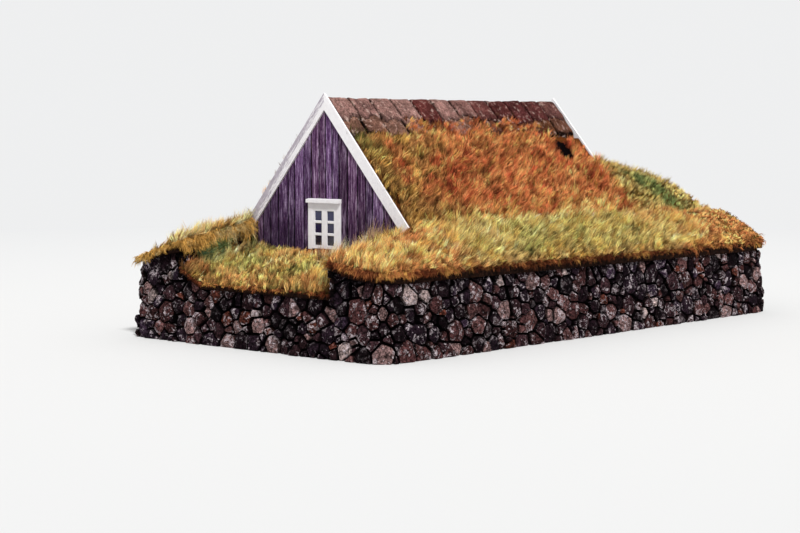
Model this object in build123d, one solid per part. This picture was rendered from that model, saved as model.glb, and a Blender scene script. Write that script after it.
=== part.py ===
"""A small turf house: dry-stone walls round thick earth banks, a steep turf roof on boards and rafters,
boarded gables with white bargeboards, one six-pane gable window and a low turf-covered rear passage.

Millimetres, +Z up. X runs across the house, Y along the ridge from the window gable (-Y) to the rear.
The origin is on the ground under the middle of the walls.
"""

import os
from math import atan, cos, degrees, radians, sin, tan

from build123d import *

# Plan of the walls at the ground
base_half_width = 3500.0
front_bank_depth = 2080.0  # front wall's foot to the front gable
roof_length = 7370.0  # between the outer faces of the two pairs of bargeboards
rear_depth = 3680.0  # rear gable to the rear wall's foot
front_right_corner_radius = 600.0  # at the ground; this corner is rounded off
tight_corner_radius = 60.0  # at the top of the other three

# Dry-stone facing
facing_thickness = 600.0  # at the ground
wall_batter = 0.11  # lean of the outer face, per unit of height
side_stone_height = 1400.0
ledge_stone_height = 1060.0  # low stretch of wall in front of the window
right_wing_stone_height = 1620.0  # beside the ledge; it falls to the side wall's height at the corner
right_wing_knee_width = 600.0  # most of that fall is over this width
right_wing_knee_rise = 60.0  # what is left of it there
left_wing_stone_height = 1760.0
left_wing_corner_height = 1480.0
ledge_ramp_width = 600.0  # the stones climb to the left wing over this width
ledge_ramp_height = 280.0
rear_stone_height = 2600.0  # in the middle of the rear end wall
rear_stone_eave_height = 1900.0  # below the eaves

# Earth and turf
turf_overhang = 35.0  # past the top of the stone facing
turf_edge = 170.0  # thickness of the turf at the outer edge, on the stones
ledge_turf_edge = 100.0  # the same on the low front wall
grass_rise = 130.0  # matted grass standing on the turf, measured plumb
bank_shoulder_height = 2123.0  # top of the banks' turf, flush with the roof turf's foot
bank_inner_height = 1880.0  # seat of the wall plates
bank_shelf_width = 340.0  # from the room's side up to under the eaves
bank_bulge = 70.0  # how far the bank's slope is rounded out
ledge_back_height = 1700.0  # turf ledge at the gable
ledge_inset = 200.0  # each end of the ledge, from the line of the eaves
ledge_bulge = 90.0
ledge_left_rise = 150.0  # up to the left wing
ledge_right_rise = 430.0  # up to the right wing, beside the window
gable_wall_thickness = 200.0  # earth wall under each boarded gable
right_wing_gable_rise = 30.0  # of the matted grass, on the wing's inner edge at the gable
right_wing_front_fall = 400.0  # that edge, from the gable to the front
left_wing_gable_rise = 160.0
left_wing_front_fall = 330.0
wing_corner_fall = 40.0  # outer edge of both wings, at the front
rear_crest_height = 3600.0  # rear mound where it meets the gable
rear_end_height = 2930.0  # rear mound at the end wall

# Roof
roof_pitch = 49.2
apex_height = 4830.0  # top of the bargeboards
bargeboard_width = 215.0
bargeboard_thickness = 40.0
turf_below_apex = 170.0  # roof turf's ridge under the bargeboards' apex
roof_turf_thickness = 150.0
sheathing_thickness = 25.0
rafter_depth = 120.0
rafter_width = 80.0
rafter_pairs = 8
plate_width = 150.0
plate_height = 120.0

# Ridge turf: cut slabs laid over the ridge, and a second course below them
slab_count = 12
slab_gap = 22.0
slab_thickness = 75.0
slab_length = 560.0  # down the slope from the ridge
slab_length_shares = (1.0, 0.893, 1.089, 0.964, 1.125)  # uneven lower edges, in turn
second_course_length = 420.0
second_course_thickness = 45.0
ridge_round_length = 90.0  # of each slope, rounded off at the crown

# Boarded gables
gable_board_thickness = 25.0
front_gable_foot = 1650.0
turf_over_boards = 20.0  # roof turf stands this much above the boards' top edge

# Window in the front gable
window_centre = -18.0
window_half_width = 440.0
window_foot = 1785.0
window_head = 2695.0
casing_width = 108.0
casing_thickness = 25.0
head_casing_height = 74.0
sill_height = 20.0
sill_drop = 15.0  # casings run this far below the sill
cap_overhang = 8.0
cap_projection = 85.0
cap_height = 82.0
cap_fall = 18.0
casement_thickness = 40.0
stile_width = 71.0
top_rail = 83.0
bottom_rail = 47.0
glass_thickness = 4.0

# Rear passage and its door
passage_half_width = 500.0
passage_height = 1800.0
lintel_thickness = 80.0
lintel_bearing_length = 150.0  # on the stones or the earth at each side
door_setback_depth = 270.0  # from the rear wall's foot to the frame's outer face
door_frame_width = 90.0
door_frame_depth = 110.0
door_thickness = 45.0
threshold_height = 50.0

# Worked-out places
total_length = front_bank_depth + roof_length + rear_depth
y_front = -total_length / 2
y_rear = total_length / 2
y_front_gable = y_front + front_bank_depth
y_rear_gable = y_front_gable + roof_length
slope = tan(radians(roof_pitch))
corner_radius = tight_corner_radius + wall_batter * rear_stone_height  # tight corners at the ground
square = cos(radians(roof_pitch))  # turns a height measured plumb into one square to the roof
out_x, out_z = sin(radians(roof_pitch)), cos(radians(roof_pitch))  # straight out of the right slope
inner_half_width = base_half_width - facing_thickness
y_front_inner = y_front + facing_thickness
y_rear_inner = y_rear - facing_thickness
turf_inset = wall_batter * side_stone_height - turf_overhang
turf_half_width = base_half_width - turf_inset
turf_y = y_rear - turf_inset
turf_edge_height = side_stone_height + turf_edge
lintel_half_length = passage_half_width + lintel_bearing_length
boards_out = bargeboard_thickness  # gable boards' outer face, behind the gable plane
boards_in = bargeboard_thickness + gable_board_thickness
room_y_front = y_front_gable + boards_in + gable_wall_thickness
room_y_rear = y_rear_gable - boards_in - gable_wall_thickness
turf_ridge = apex_height - turf_below_apex
bank_grass_height = bank_shoulder_height + grass_rise
eave_half_width = (turf_ridge - bank_shoulder_height) / slope
room_half_width = eave_half_width - bank_shelf_width
ledge_half_width = eave_half_width - ledge_inset
sheathing_ridge = turf_ridge - roof_turf_thickness / square
rafter_ridge = sheathing_ridge - sheathing_thickness / square
tall = 2 * apex_height  # higher than anything, for cutting blocks
past_face = 50.0  # how far cutting blocks reach past the outer faces


def outline(points, y):
    """Face in the plane of that y, from (x, z) points."""
    return make_face(Polyline([(x, y, z) for x, z in points], close=True))


def along_y(points, y_from, y_to):
    """Solid with an (x, z) outline, from y_from to y_to."""
    return extrude(outline(points, y_from), amount=y_to - y_from, dir=(0, 1, 0))


def block(x_from, x_to, y_from, y_to, z_from, z_to):
    corner = Pos((x_from + x_to) / 2, (y_from + y_to) / 2, (z_from + z_to) / 2)
    return corner * Box(abs(x_to - x_from), abs(y_to - y_from), abs(z_to - z_from))


def arch(start, middle, end, y):
    """Face in the plane of that y, from the ground up to an arc through three (x, z) points."""
    (x_start, z_start), (x_middle, z_middle), (x_end, z_end) = start, middle, end
    sides = Polyline([(x_start, y, z_start), (x_start, y, 0), (x_end, y, 0), (x_end, y, z_end)])
    top = ThreePointArc((x_start, y, z_start), (x_middle, y, z_middle), (x_end, y, z_end))
    return make_face(sides.edges() + top.edges())


def below(shape, a, b, c):
    """What lies of a shape below the plane through three points, given anticlockwise from above."""
    normal = (Vector(*b) - Vector(*a)).cross(Vector(*c) - Vector(*a))
    return split(shape, bisect_by=Plane(origin=a, z_dir=normal), keep=Keep.BOTTOM)


def mirrored(shape):
    return mirror(shape, about=Plane.YZ)


def only_solids(shape):
    """The shape as one solid, or as a compound of its solids."""
    solids = shape.solids()
    return solids[0] if len(solids) == 1 else Compound(children=list(solids))


def plan_shape(inset):
    """The walls' outline, set in from the ground's, with three tight corners and a rounder one."""
    shape = Rectangle(2 * (base_half_width - inset), total_length - 2 * inset)
    corners = shape.vertices().sort_by(lambda corner: corner.X - corner.Y)
    shape = fillet(corners[:3], corner_radius - inset)
    front_right = shape.vertices().sort_by(lambda corner: corner.X - corner.Y)[-1]
    return fillet(front_right, front_right_corner_radius - inset)


# Stone facing

def right_front_stone_line():
    """Top of the front facing from the ledge's right end to the corner, as (x, z)."""
    return [(ledge_half_width, right_wing_stone_height),
            (ledge_half_width + right_wing_knee_width, side_stone_height + right_wing_knee_rise),
            (base_half_width, side_stone_height)]


def left_front_stone_line():
    """Top of the front facing from the corner to the ledge's left end, as (x, z)."""
    return [(-base_half_width, left_wing_corner_height),
            (-ledge_half_width, left_wing_stone_height)]


def ledge_stone_line():
    return [(-ledge_half_width, ledge_stone_height + ledge_ramp_height),
            (-ledge_half_width + ledge_ramp_width, ledge_stone_height),
            (ledge_half_width, ledge_stone_height)]


def rear_stone_line():
    """Half of the rear wall's top, from the middle to the corner, as (x, z)."""
    return [(0.0, rear_stone_height),
            (eave_half_width, rear_stone_eave_height),
            (base_half_width, side_stone_height)]


def under_line(line, y_from, y_to):
    """Everything under an (x, z) line, down to the ground."""
    return along_y([(line[0][0], 0.0)] + line + [(line[-1][0], 0.0)], y_from, y_to)


def battered_block():
    """The walls' outer shape, leaning inwards as it rises."""
    return extrude(plan_shape(0), amount=rear_stone_height, taper=degrees(atan(wall_batter)))


def stone_zones():
    """Blocks that the facing fills, by the name of each stretch of wall."""
    x_out = base_half_width + past_face
    y_out = y_rear + past_face
    right_line = right_front_stone_line()
    left_line = left_front_stone_line()
    rear_line = rear_stone_line()
    rear_left_line = [(-x, z) for x, z in reversed(rear_line)]
    side = block(inner_half_width, x_out, y_front_inner, y_rear_inner, 0, side_stone_height)
    front_right = under_line(right_line, -y_out, y_front_inner)
    front_left = under_line(left_line, -y_out, y_front_inner)
    rear_right = under_line(rear_line, y_rear_inner, y_out)
    rear_left = under_line(rear_left_line, y_rear_inner, y_out)
    corner_box = block(inner_half_width, x_out, -y_out, y_out, 0, tall)
    doorway = block(-passage_half_width, passage_half_width, y_rear_inner, y_out, 0, passage_height)
    over_door = block(-lintel_half_length, lintel_half_length, y_rear_inner, y_out, passage_height, tall)
    return {
        "right_stone_wall": side,
        "left_stone_wall": mirrored(side),
        "front_right_stone_wing": front_right - corner_box,
        "front_right_stone_corner": front_right & corner_box,
        "front_left_stone_wing": front_left - mirrored(corner_box),
        "front_left_stone_corner": front_left & mirrored(corner_box),
        "front_stone_wall": under_line(ledge_stone_line(), -y_out, y_front_inner),
        "rear_right_stone_wall": rear_right - corner_box - doorway - over_door,
        "rear_left_stone_wall": rear_left - mirrored(corner_box) - doorway - over_door,
        "rear_right_stone_corner": rear_right & corner_box,
        "rear_left_stone_corner": rear_left & mirrored(corner_box),
        "stones_over_door": (rear_right + rear_left) & over_door,
    }


def stone_walls(zones):
    shape = battered_block()
    return {name: shape & zone for name, zone in zones.items()}


# Earth banks and turf

def bank_section(y):
    """Right-hand bank from the line of the roof's foot to its outer edge, with a rounded slope."""
    top, edge = (eave_half_width, bank_grass_height), (turf_half_width, turf_edge_height)
    middle = ((top[0] + edge[0]) / 2, (top[1] + edge[1]) / 2 + bank_bulge)
    return arch(top, middle, edge, y)


def right_side_bank():
    """Bank beside the room: earth up to the plates' seat, and turf from the roof's foot to the stones."""
    inner = block(room_half_width, eave_half_width, y_front_gable + boards_in, y_rear_gable - boards_in,
                  0, bank_inner_height)
    return inner + extrude(bank_section(y_front_gable), amount=roof_length, dir=(0, 1, 0))


def right_front_wing(gable_rise, front_fall):
    """Bank beside the ledge: the side bank run on to the front, its inner part falling to the front wall."""
    reach = turf_y + y_front_gable
    outer = extrude(bank_section(-turf_y), amount=reach, dir=(0, 1, 0))
    inner = block(ledge_half_width, eave_half_width, -turf_y, y_front_gable, 0, bank_grass_height)
    gable_end = bank_shoulder_height + gable_rise
    return below(outer + inner,
                 (ledge_half_width, -turf_y, gable_end - front_fall),
                 (turf_half_width, -turf_y, turf_edge_height - wing_corner_fall),
                 (ledge_half_width, y_front_gable, gable_end))


def ledge_block(x_from, x_to):
    return block(x_from, x_to, -turf_y, y_front_gable + boards_out, 0, bank_grass_height)


def front_ledge():
    """Low turf ledge under the window, rising to both wings, and the earth wall under the gable boards."""
    half = ledge_half_width
    back_y = y_front_gable + boards_out
    front_height = ledge_stone_height + ledge_turf_edge
    profile = Polyline([(-half, back_y, ledge_back_height), (-half, back_y, 0), (-half, -turf_y, 0),
                        (-half, -turf_y, front_height)])
    middle_height = (front_height + ledge_back_height) / 2 + ledge_bulge
    slope_line = ThreePointArc((-half, -turf_y, front_height), (-half, (back_y - turf_y) / 2, middle_height),
                               (-half, back_y, ledge_back_height))
    middle = extrude(make_face(profile.edges() + slope_line.edges()), amount=2 * half, dir=(1, 0, 0))
    right_rise = below(ledge_block(0, half),
                       (window_centre + window_half_width, back_y, ledge_back_height),
                       (half, -turf_y, front_height),
                       (half, back_y, ledge_back_height + ledge_right_rise))
    left_rise = below(ledge_block(-half, 0),
                      (-half, back_y, ledge_back_height + ledge_left_rise),
                      (-half, -turf_y, front_height + ledge_ramp_height),
                      (ledge_ramp_width - half, -turf_y, front_height))
    under_boards = block(-eave_half_width, eave_half_width, y_front_gable, y_front_gable + boards_in,
                         0, front_gable_foot)
    gable_wall = block(-room_half_width, room_half_width, y_front_gable, room_y_front, 0, front_gable_foot)
    return middle + right_rise + left_rise + under_boards + gable_wall


def rear_mound():
    """Barrel of turf over the passage, falling to the end wall, between two banks like the side ones."""
    rise = rear_crest_height - bank_grass_height
    radius = (eave_half_width ** 2 + rise ** 2) / (2 * rise)
    run = turf_y - y_rear_gable
    fall = degrees(atan((rear_crest_height - rear_end_height) / run))
    from_y = y_rear_gable - boards_out
    barrel_top = Pos(0, y_rear_gable, rear_crest_height) * Rot(-fall, 0, 0)
    barrel = barrel_top * Pos(0, 0, -radius) * Rot(90, 0, 0) * Cylinder(radius, 4 * run)
    barrel = barrel & block(-tall, tall, from_y, turf_y, 0, tall)
    side = extrude(bank_section(from_y), amount=turf_y - from_y, dir=(0, 1, 0))
    core = block(-eave_half_width, eave_half_width, from_y, turf_y, 0, bank_grass_height)
    mound = barrel + side + mirrored(side) + core
    beside = block(eave_half_width, tall, from_y, y_rear_gable, 0, tall)
    board = right_bargeboard(y_rear_gable - bargeboard_thickness)
    return mound - beside - mirrored(beside) - board - mirrored(board)


def turf_banks(zones):
    plan = extrude(plan_shape(turf_inset), amount=tall)
    passage = block(-passage_half_width, passage_half_width, room_y_rear, y_rear, 0, passage_height)
    slot = block(-lintel_half_length, lintel_half_length, room_y_rear, y_rear, passage_height, tall)
    lintel_top = passage_height + lintel_thickness
    mound = rear_mound()
    gable_wall = block(0, room_half_width, room_y_rear, y_rear_gable, 0, bank_inner_height)
    under_boards = block(0, eave_half_width, y_rear_gable - boards_in, y_rear_gable, 0, bank_inner_height)
    right_half = mound & block(0, tall, y_rear_gable - boards_out, turf_y, 0, tall)
    rear_right = right_half + gable_wall + under_boards - passage - slot
    over_lintels = block(-lintel_half_length, lintel_half_length, y_rear_gable - boards_out, y_rear,
                         lintel_top, tall)
    crown_piece = mound & over_lintels
    side = right_side_bank()
    banks = {
        "right_turf_bank": side,
        "left_turf_bank": mirrored(side),
        "front_right_turf_wing": right_front_wing(right_wing_gable_rise, right_wing_front_fall),
        "front_left_turf_wing": mirrored(right_front_wing(left_wing_gable_rise, left_wing_front_fall)),
        "front_turf_ledge": front_ledge(),
        "rear_right_turf_bank": rear_right,
        "rear_left_turf_bank": mirrored(rear_right),
        "rear_turf_crown": crown_piece,
    }
    trimmed = {}
    for name, bank in banks.items():
        body = bank & plan
        for zone in zones.values():
            body = body - zone
        trimmed[name] = body
    trimmed["passage_lintels"] = block(-lintel_half_length, lintel_half_length, room_y_rear, y_rear_inner,
                                       passage_height, lintel_top)
    return trimmed


# Roof

def roof_band(ridge, thickness, x_end):
    """(x, z) outline of a layer on the right slope, from the ridge down to x_end, cut plumb at both ends."""
    drop = thickness / square
    foot = ridge - slope * x_end
    return [(0, ridge), (x_end, foot), (x_end, foot - drop), (0, ridge - drop)]


def roof_turf_outline():
    """(x, z) outline of the right-hand roof turf, with matted grass on it below the ridge courses."""
    ridge, foot, foot_under, ridge_under = roof_band(turf_ridge, roof_turf_thickness, eave_half_width)
    grass_x = (slab_length * max(slab_length_shares) + slab_gap + second_course_length) * square
    grass_x += second_course_thickness * out_x  # clear of the course's square-cut foot
    grass_z = turf_ridge - slope * grass_x
    return [ridge, (grass_x, grass_z), (grass_x, grass_z + grass_rise), (foot[0], foot[1] + grass_rise),
            foot_under, ridge_under]


def right_roof_layers():
    y_from, y_to = y_front_gable + boards_in, y_rear_gable - boards_in
    turf = along_y(roof_turf_outline(), y_from, y_to)
    boards = along_y(roof_band(sheathing_ridge, sheathing_thickness, eave_half_width), y_from, y_to)
    seat = block(0, tall, y_from, y_to, 0, bank_inner_height)
    return {"right_roof_turf": turf - seat, "right_roof_boards": boards - seat}


def right_rafters():
    """The right-hand rafter of each pair, standing on the wall plate."""
    first = y_front_gable + boards_in
    step = (roof_length - 2 * boards_in - rafter_width) / (rafter_pairs - 1)
    plate_top = bank_inner_height + plate_height
    band = roof_band(rafter_ridge, rafter_depth, room_half_width + plate_width)
    rafters = []
    for k in range(rafter_pairs):
        rafter = along_y(band, first + k * step, first + k * step + rafter_width)
        rafters.append(rafter - block(0, tall, y_front, y_rear, 0, plate_top))
    return Compound(children=[r.solid() for r in rafters])


def right_wall_plate():
    return block(room_half_width, room_half_width + plate_width, y_front_gable + boards_in,
                 y_rear_gable - boards_in, bank_inner_height, bank_inner_height + plate_height)


def right_bargeboard(y_from):
    """Board down the edge of the gable, mitred plumb at the apex and cut square at the foot."""
    foot = (eave_half_width, apex_height - slope * eave_half_width)
    foot_inner = (foot[0] - bargeboard_width * out_x, foot[1] - bargeboard_width * out_z)
    points = [(0, apex_height), foot, foot_inner, (0, apex_height - bargeboard_width / square)]
    return along_y(points, y_from, y_from + bargeboard_thickness)


# Ridge turf

def slab_profile(reach, y):
    """Face of a slab bent over the ridge, in the plane of that y: an even layer with a rounded crown."""
    run = reach * square
    foot = turf_ridge - slope * run
    top = turf_ridge + slab_thickness / square
    proud_x, proud_z = slab_thickness * out_x, slab_thickness * out_z
    tangent = ridge_round_length * square
    tangent_z = top - slope * tangent
    legs = Polyline([(tangent, y, tangent_z), (run + proud_x, y, foot + proud_z), (run, y, foot),
                     (0, y, turf_ridge), (-run, y, foot), (-run - proud_x, y, foot + proud_z),
                     (-tangent, y, tangent_z)])
    crown = ThreePointArc((-tangent, y, tangent_z), (0, y, (top + tangent_z) / 2), (tangent, y, tangent_z))
    return make_face(legs.edges() + crown.edges())


def slab_stations():
    """(y, width, reach) of each slab along the ridge."""
    first = y_front_gable + boards_out
    pitch = (roof_length - 2 * boards_out) / slab_count
    reaches = [slab_length * slab_length_shares[k % len(slab_length_shares)] for k in range(slab_count)]
    return [(first + k * pitch, pitch - slab_gap, reaches[k]) for k in range(slab_count)]


def ridge_slabs():
    slabs = []
    for y, width, reach in slab_stations():
        slabs.append(extrude(slab_profile(reach, y), amount=width, dir=(0, 1, 0)).solid())
    return Compound(children=slabs)


def second_course():
    """Slabs below the first course on both slopes, thinner, so that the first stands proud of them."""
    slabs = []
    proud_x, proud_z = second_course_thickness * out_x, second_course_thickness * out_z
    for y, width, reach in slab_stations():
        head_x = (reach + slab_gap) * square
        foot_x = (reach + slab_gap + second_course_length) * square
        head = (head_x, turf_ridge - slope * head_x)
        foot = (foot_x, turf_ridge - slope * foot_x)
        points = [head, (head[0] + proud_x, head[1] + proud_z), (foot[0] + proud_x, foot[1] + proud_z), foot]
        slab = along_y(points, y, y + width).solid()
        slabs += [slab, mirrored(slab).solid()]
    return Compound(children=slabs)


# Gables

def gable_boards(foot, y_from):
    """Boarded triangle under the roof, standing on the earth wall."""
    top = turf_ridge - turf_over_boards
    points = [(0, top), (eave_half_width, top - slope * eave_half_width), (eave_half_width, foot),
              (-eave_half_width, foot), (-eave_half_width, top - slope * eave_half_width)]
    return along_y(points, y_from, y_from + gable_board_thickness)


def window_opening():
    half = window_half_width - casing_width
    foot = window_foot + sill_drop + sill_height
    return window_centre - half, window_centre + half, foot, window_head - head_casing_height


def window():
    """Casing on the boards' face, a sloping cap, two casements in the opening, and their glass."""
    x0, x1, z0, z1 = window_opening()
    face = y_front_gable + boards_out
    left, right = window_centre - window_half_width, window_centre + window_half_width
    casing = block(left, right, face - casing_thickness, face, window_foot, window_head)
    casing -= block(x0, x1, face - casing_thickness, face, z0, z1)
    casing -= block(x0, x1, face - casing_thickness, face, window_foot, window_foot + sill_drop)
    cap_end = left - cap_overhang
    cap_section = [(cap_end, face, window_head),
                   (cap_end, face - cap_projection, window_head),
                   (cap_end, face - cap_projection, window_head + cap_height - cap_fall),
                   (cap_end, face, window_head + cap_height)]
    cap = extrude(make_face(Polyline(cap_section, close=True)), amount=right + cap_overhang - cap_end,
                  dir=(1, 0, 0))
    pieces = {"window_casing": casing, "window_cap": cap}
    panes = []
    y_from, y_to = face - casement_thickness / 2, face + casement_thickness / 2
    glass_from, glass_to = face - glass_thickness / 2, face + glass_thickness / 2
    for side, a, b in (("left", x0, window_centre), ("right", window_centre, x1)):
        light = (a + stile_width, b - stile_width)
        heights = (z0 + bottom_rail, z1 - top_rail)
        sash = block(a, b, y_from, y_to, z0, z1) - block(*light, y_from, y_to, *heights)
        pieces[f"window_{side}_casement"] = sash
        panes.append(block(*light, glass_from, glass_to, *heights).solid())
    pieces["window_glass"] = Compound(children=panes)
    return pieces


# Rear door

def rear_door():
    y_out = y_rear - door_setback_depth
    y_in = y_out - door_frame_depth
    inner = passage_half_width - door_frame_width
    head = passage_height - door_frame_width
    frame = block(-passage_half_width, passage_half_width, y_in, y_out, 0, passage_height)
    frame -= block(-inner, inner, y_in, y_out, threshold_height, head)
    leaf_from = (y_in + y_out - door_thickness) / 2
    leaf = block(-inner, inner, leaf_from, leaf_from + door_thickness, threshold_height, head)
    return {"door_frame": frame, "door_leaf": leaf}


def house():
    zones = stone_zones()
    nodes = {**stone_walls(zones), **turf_banks(zones)}
    for name, layer in right_roof_layers().items():
        nodes[name] = layer
        nodes[name.replace("right", "left")] = mirrored(layer)
    rafters = right_rafters()
    nodes["right_rafters"] = rafters
    nodes["left_rafters"] = mirrored(rafters)
    nodes["right_wall_plate"] = right_wall_plate()
    nodes["left_wall_plate"] = mirrored(right_wall_plate())
    for place, y in (("front", y_front_gable), ("rear", y_rear_gable - bargeboard_thickness)):
        board = right_bargeboard(y)
        nodes[f"{place}_right_bargeboard"] = board
        nodes[f"{place}_left_bargeboard"] = mirrored(board)
    nodes["ridge_turf_slabs"] = ridge_slabs()
    nodes["second_turf_course"] = second_course()
    x0, x1, z0, z1 = window_opening()
    window_hole = block(x0, x1, y_front_gable, y_front_gable + boards_in, z0, z1)
    nodes["front_gable_boards"] = gable_boards(front_gable_foot, y_front_gable + boards_out) - window_hole
    nodes["rear_gable_boards"] = gable_boards(bank_inner_height, y_rear_gable - boards_in)
    nodes.update(window())
    nodes.update(rear_door())
    return nodes


os.makedirs("parts", exist_ok=True)
for node, shape in house().items():
    export_step(only_solids(shape), f"parts/{node}.step")
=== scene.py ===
"""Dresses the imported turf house: rubble stones, grass, cut ridge turf, planks, glazing bars, paint and glass.

Metres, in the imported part's own frame: +Z up, Y along the ridge, the window gable towards -Y.
"""

from math import cos, hypot, pi, radians, tan

import bpy
import numpy as np
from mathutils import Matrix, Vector


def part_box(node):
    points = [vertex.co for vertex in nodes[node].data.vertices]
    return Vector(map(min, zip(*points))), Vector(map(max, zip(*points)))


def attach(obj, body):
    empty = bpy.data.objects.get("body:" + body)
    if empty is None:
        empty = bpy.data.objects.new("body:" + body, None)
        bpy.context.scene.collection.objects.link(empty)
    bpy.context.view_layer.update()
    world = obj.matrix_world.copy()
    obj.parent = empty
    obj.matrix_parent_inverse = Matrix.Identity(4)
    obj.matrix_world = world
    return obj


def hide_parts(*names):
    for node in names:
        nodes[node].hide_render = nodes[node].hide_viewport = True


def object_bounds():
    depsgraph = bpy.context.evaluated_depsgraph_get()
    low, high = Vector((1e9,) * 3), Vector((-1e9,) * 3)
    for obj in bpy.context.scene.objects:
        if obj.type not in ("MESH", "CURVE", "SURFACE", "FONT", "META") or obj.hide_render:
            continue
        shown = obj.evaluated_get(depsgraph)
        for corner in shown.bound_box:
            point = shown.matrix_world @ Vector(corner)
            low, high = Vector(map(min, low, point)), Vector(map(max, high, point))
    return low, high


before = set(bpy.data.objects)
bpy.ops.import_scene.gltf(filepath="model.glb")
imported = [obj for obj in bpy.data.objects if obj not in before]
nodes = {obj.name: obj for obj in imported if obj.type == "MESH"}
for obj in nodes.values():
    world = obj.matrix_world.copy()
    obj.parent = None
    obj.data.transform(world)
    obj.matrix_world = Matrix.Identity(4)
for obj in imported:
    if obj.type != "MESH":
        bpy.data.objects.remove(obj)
cad_low, cad_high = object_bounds()

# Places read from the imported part
half_width = cad_high.x
y_front, y_rear = cad_low.y, cad_high.y
gable_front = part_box("front_right_bargeboard")[0].y
gable_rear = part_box("rear_right_bargeboard")[1].y
bargeboard_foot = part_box("front_right_bargeboard")[0].z
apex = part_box("front_right_bargeboard")[1].z
boards_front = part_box("front_gable_boards")
boards_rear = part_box("rear_gable_boards")
roof_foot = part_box("right_roof_turf")[0].z
turf_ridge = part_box("right_roof_turf")[1].z
eave_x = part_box("right_roof_turf")[1].x
opening_low, opening_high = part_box("window_left_casement")[0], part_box("window_right_casement")[1]
glass_low, glass_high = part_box("window_glass")
wing_left_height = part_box("front_left_stone_wing")[1].z
wing_right_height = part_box("front_right_stone_wing")[1].z
ledge_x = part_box("front_stone_wall")[1].x
cheek_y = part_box("front_left_turf_wing")[1].y
side_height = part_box("right_stone_wall")[1].z
rear_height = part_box("rear_right_stone_wall")[1].z
passage_half = -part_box("door_frame")[0].x
passage_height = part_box("door_frame")[1].z
door_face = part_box("door_frame")[1].y
turf_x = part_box("right_turf_bank")[1].x
turf_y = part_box("rear_right_turf_bank")[1].y

# The same sizes as in the part's source
batter = 0.11
round_corner = 0.6
tight_corner = 0.346
facing_thickness = 0.6
ledge_height = 1.06
ledge_ramp_width, ledge_ramp_height = 0.6, 0.28
knee_width, knee_rise = 0.6, 0.06
corner_left_height, corner_run = 1.48, 0.35
rear_eave_height = 1.9
pitch = radians(49.2)
slope = tan(pitch)
slab_count, slab_gap, slab_thickness, slab_length = 12, 0.022, 0.075, 0.56
slab_length_shares = (1.0, 0.893, 1.089, 0.964, 1.125)
course_length, course_thickness = 0.42, 0.045
grass_rise = 0.13  # matted grass in the part's roof turf

# Stones
stone_depth = 0.14  # open joints go this deep
stone_sizes = ((0.2, 0.09), (0.15, 0.5), (0.11, 0.55), (0.075, 0.35))  # radius, and tries for its area
stone_squash = 1.12  # stones are this much wider than high
stone_rings = ((1.0, -stone_depth), (1.0, -0.035), (0.94, 0.012), (0.74, 0.034), (0.4, 0.05))
small_stone_rings = ((1.0, -stone_depth), (0.98, -0.03), (0.84, 0.008))
small_stone, least_area = 0.12, 0.0022  # stones under the first have fewer rings, under the second none
deepest_break = -0.045
foot_blocks = (  # larger blocks along the foot of the front wall, as (x, height, radius)
    (-0.6, 0.15, 0.15), (-0.22, 0.17, 0.18), (0.18, 0.16, 0.18), (0.62, 0.17, 0.2), (3.37, 0.16, 0.22),
    (2.9, 0.5, 0.17), (1.7, 0.16, 0.16))
pale_blocks, pale_reach = ((3.37, 0.16), (0.62, 0.17)), 0.12  # stones this near to them are pale
open_joint, tight_joint = 0.042, 0.014
clearance = 0.004  # kept between the stones and the lines that bound them
neighbours = 33  # nearest stones that can bound a stone
core_depth, core_top_gap, core_step = stone_depth - 0.02, 0.012, 0.12

# Grass
blades_in_tuft, blades_in_lock, blades_in_cheek_tuft = 12, 6, 10
tuft_radius = 0.016
root_depth = 0.02
grass_reach = 0.1  # blades may pass the walls' feet by this much
grass_clump = 0.28
hollows = ((0.95, 1.95, 0.2), (1.36, -3.04, 0.05))  # in the roof's grass, as (x, y, radius)
hollow_corners = 14
wind = Vector((0.743, 0.669, 0.0))  # the long grass leans this way

# Ridge turf and boards
slab_crown = 0.05
slab_grid = (15, 32)
slab_overlap = 0.03  # of a ridge slab over the course below it
torn_edge = 0.09
plank_width, plank_gap, plank_depth_play = 0.225, 0.013, 0.004
# Strips behind the plank gaps are painted near black: painted shade of the unlit room.
backing_width, gap_shade_tone = 0.026, 0.04
glazing_bar_height, glazing_bar_depth, light_width = 0.052, 0.036, 0.172

# Camera and light
camera_place = (24.10, -29.065, 4.055)
camera_dip, camera_turn = 4.32, 41.98  # degrees below level, and to the left of +Y
focal_length, sensor_width = 79.59, 36.0
backdrop = (0.86, 0.865, 0.87, 1.0)
floor_colour = (0.72, 0.72, 0.715, 1.0)
floor_reach, floor_height = 400.0, -0.003
to_sun = Vector((0.6, -0.37, 0.8))
sun_strength, room_strength = 3.2, 0.54


def from_srgb(colour):
    """Linear colour from one written as 0 to 255."""
    c = np.asarray(colour, float) / 255
    return np.where(c <= 0.04045, c / 12.92, ((c + 0.055) / 1.055) ** 2.4)


def unit(v):
    return v / np.maximum(np.linalg.norm(v, axis=-1, keepdims=True), 1e-9)


def smooth_step(low, high, value):
    t = np.clip((value - low) / (high - low), 0, 1)
    return t * t * (3 - 2 * t)


def mixed(a, b, share):
    share = np.asarray(share)[..., None]
    return a * (1 - share) + b * share


def lattice(i, j, k, seed):
    """A repeatable number from 0 to 1 for each whole point."""
    n = (i * 374761393 + j * 668265263 + k * 1440662683 + seed * 1274126177) & 0xFFFFFFFF
    n = ((n ^ (n >> 13)) * 1274126177) & 0xFFFFFFFF
    return ((n ^ (n >> 16)) & 0xFFFF) / 65535.0


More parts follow.
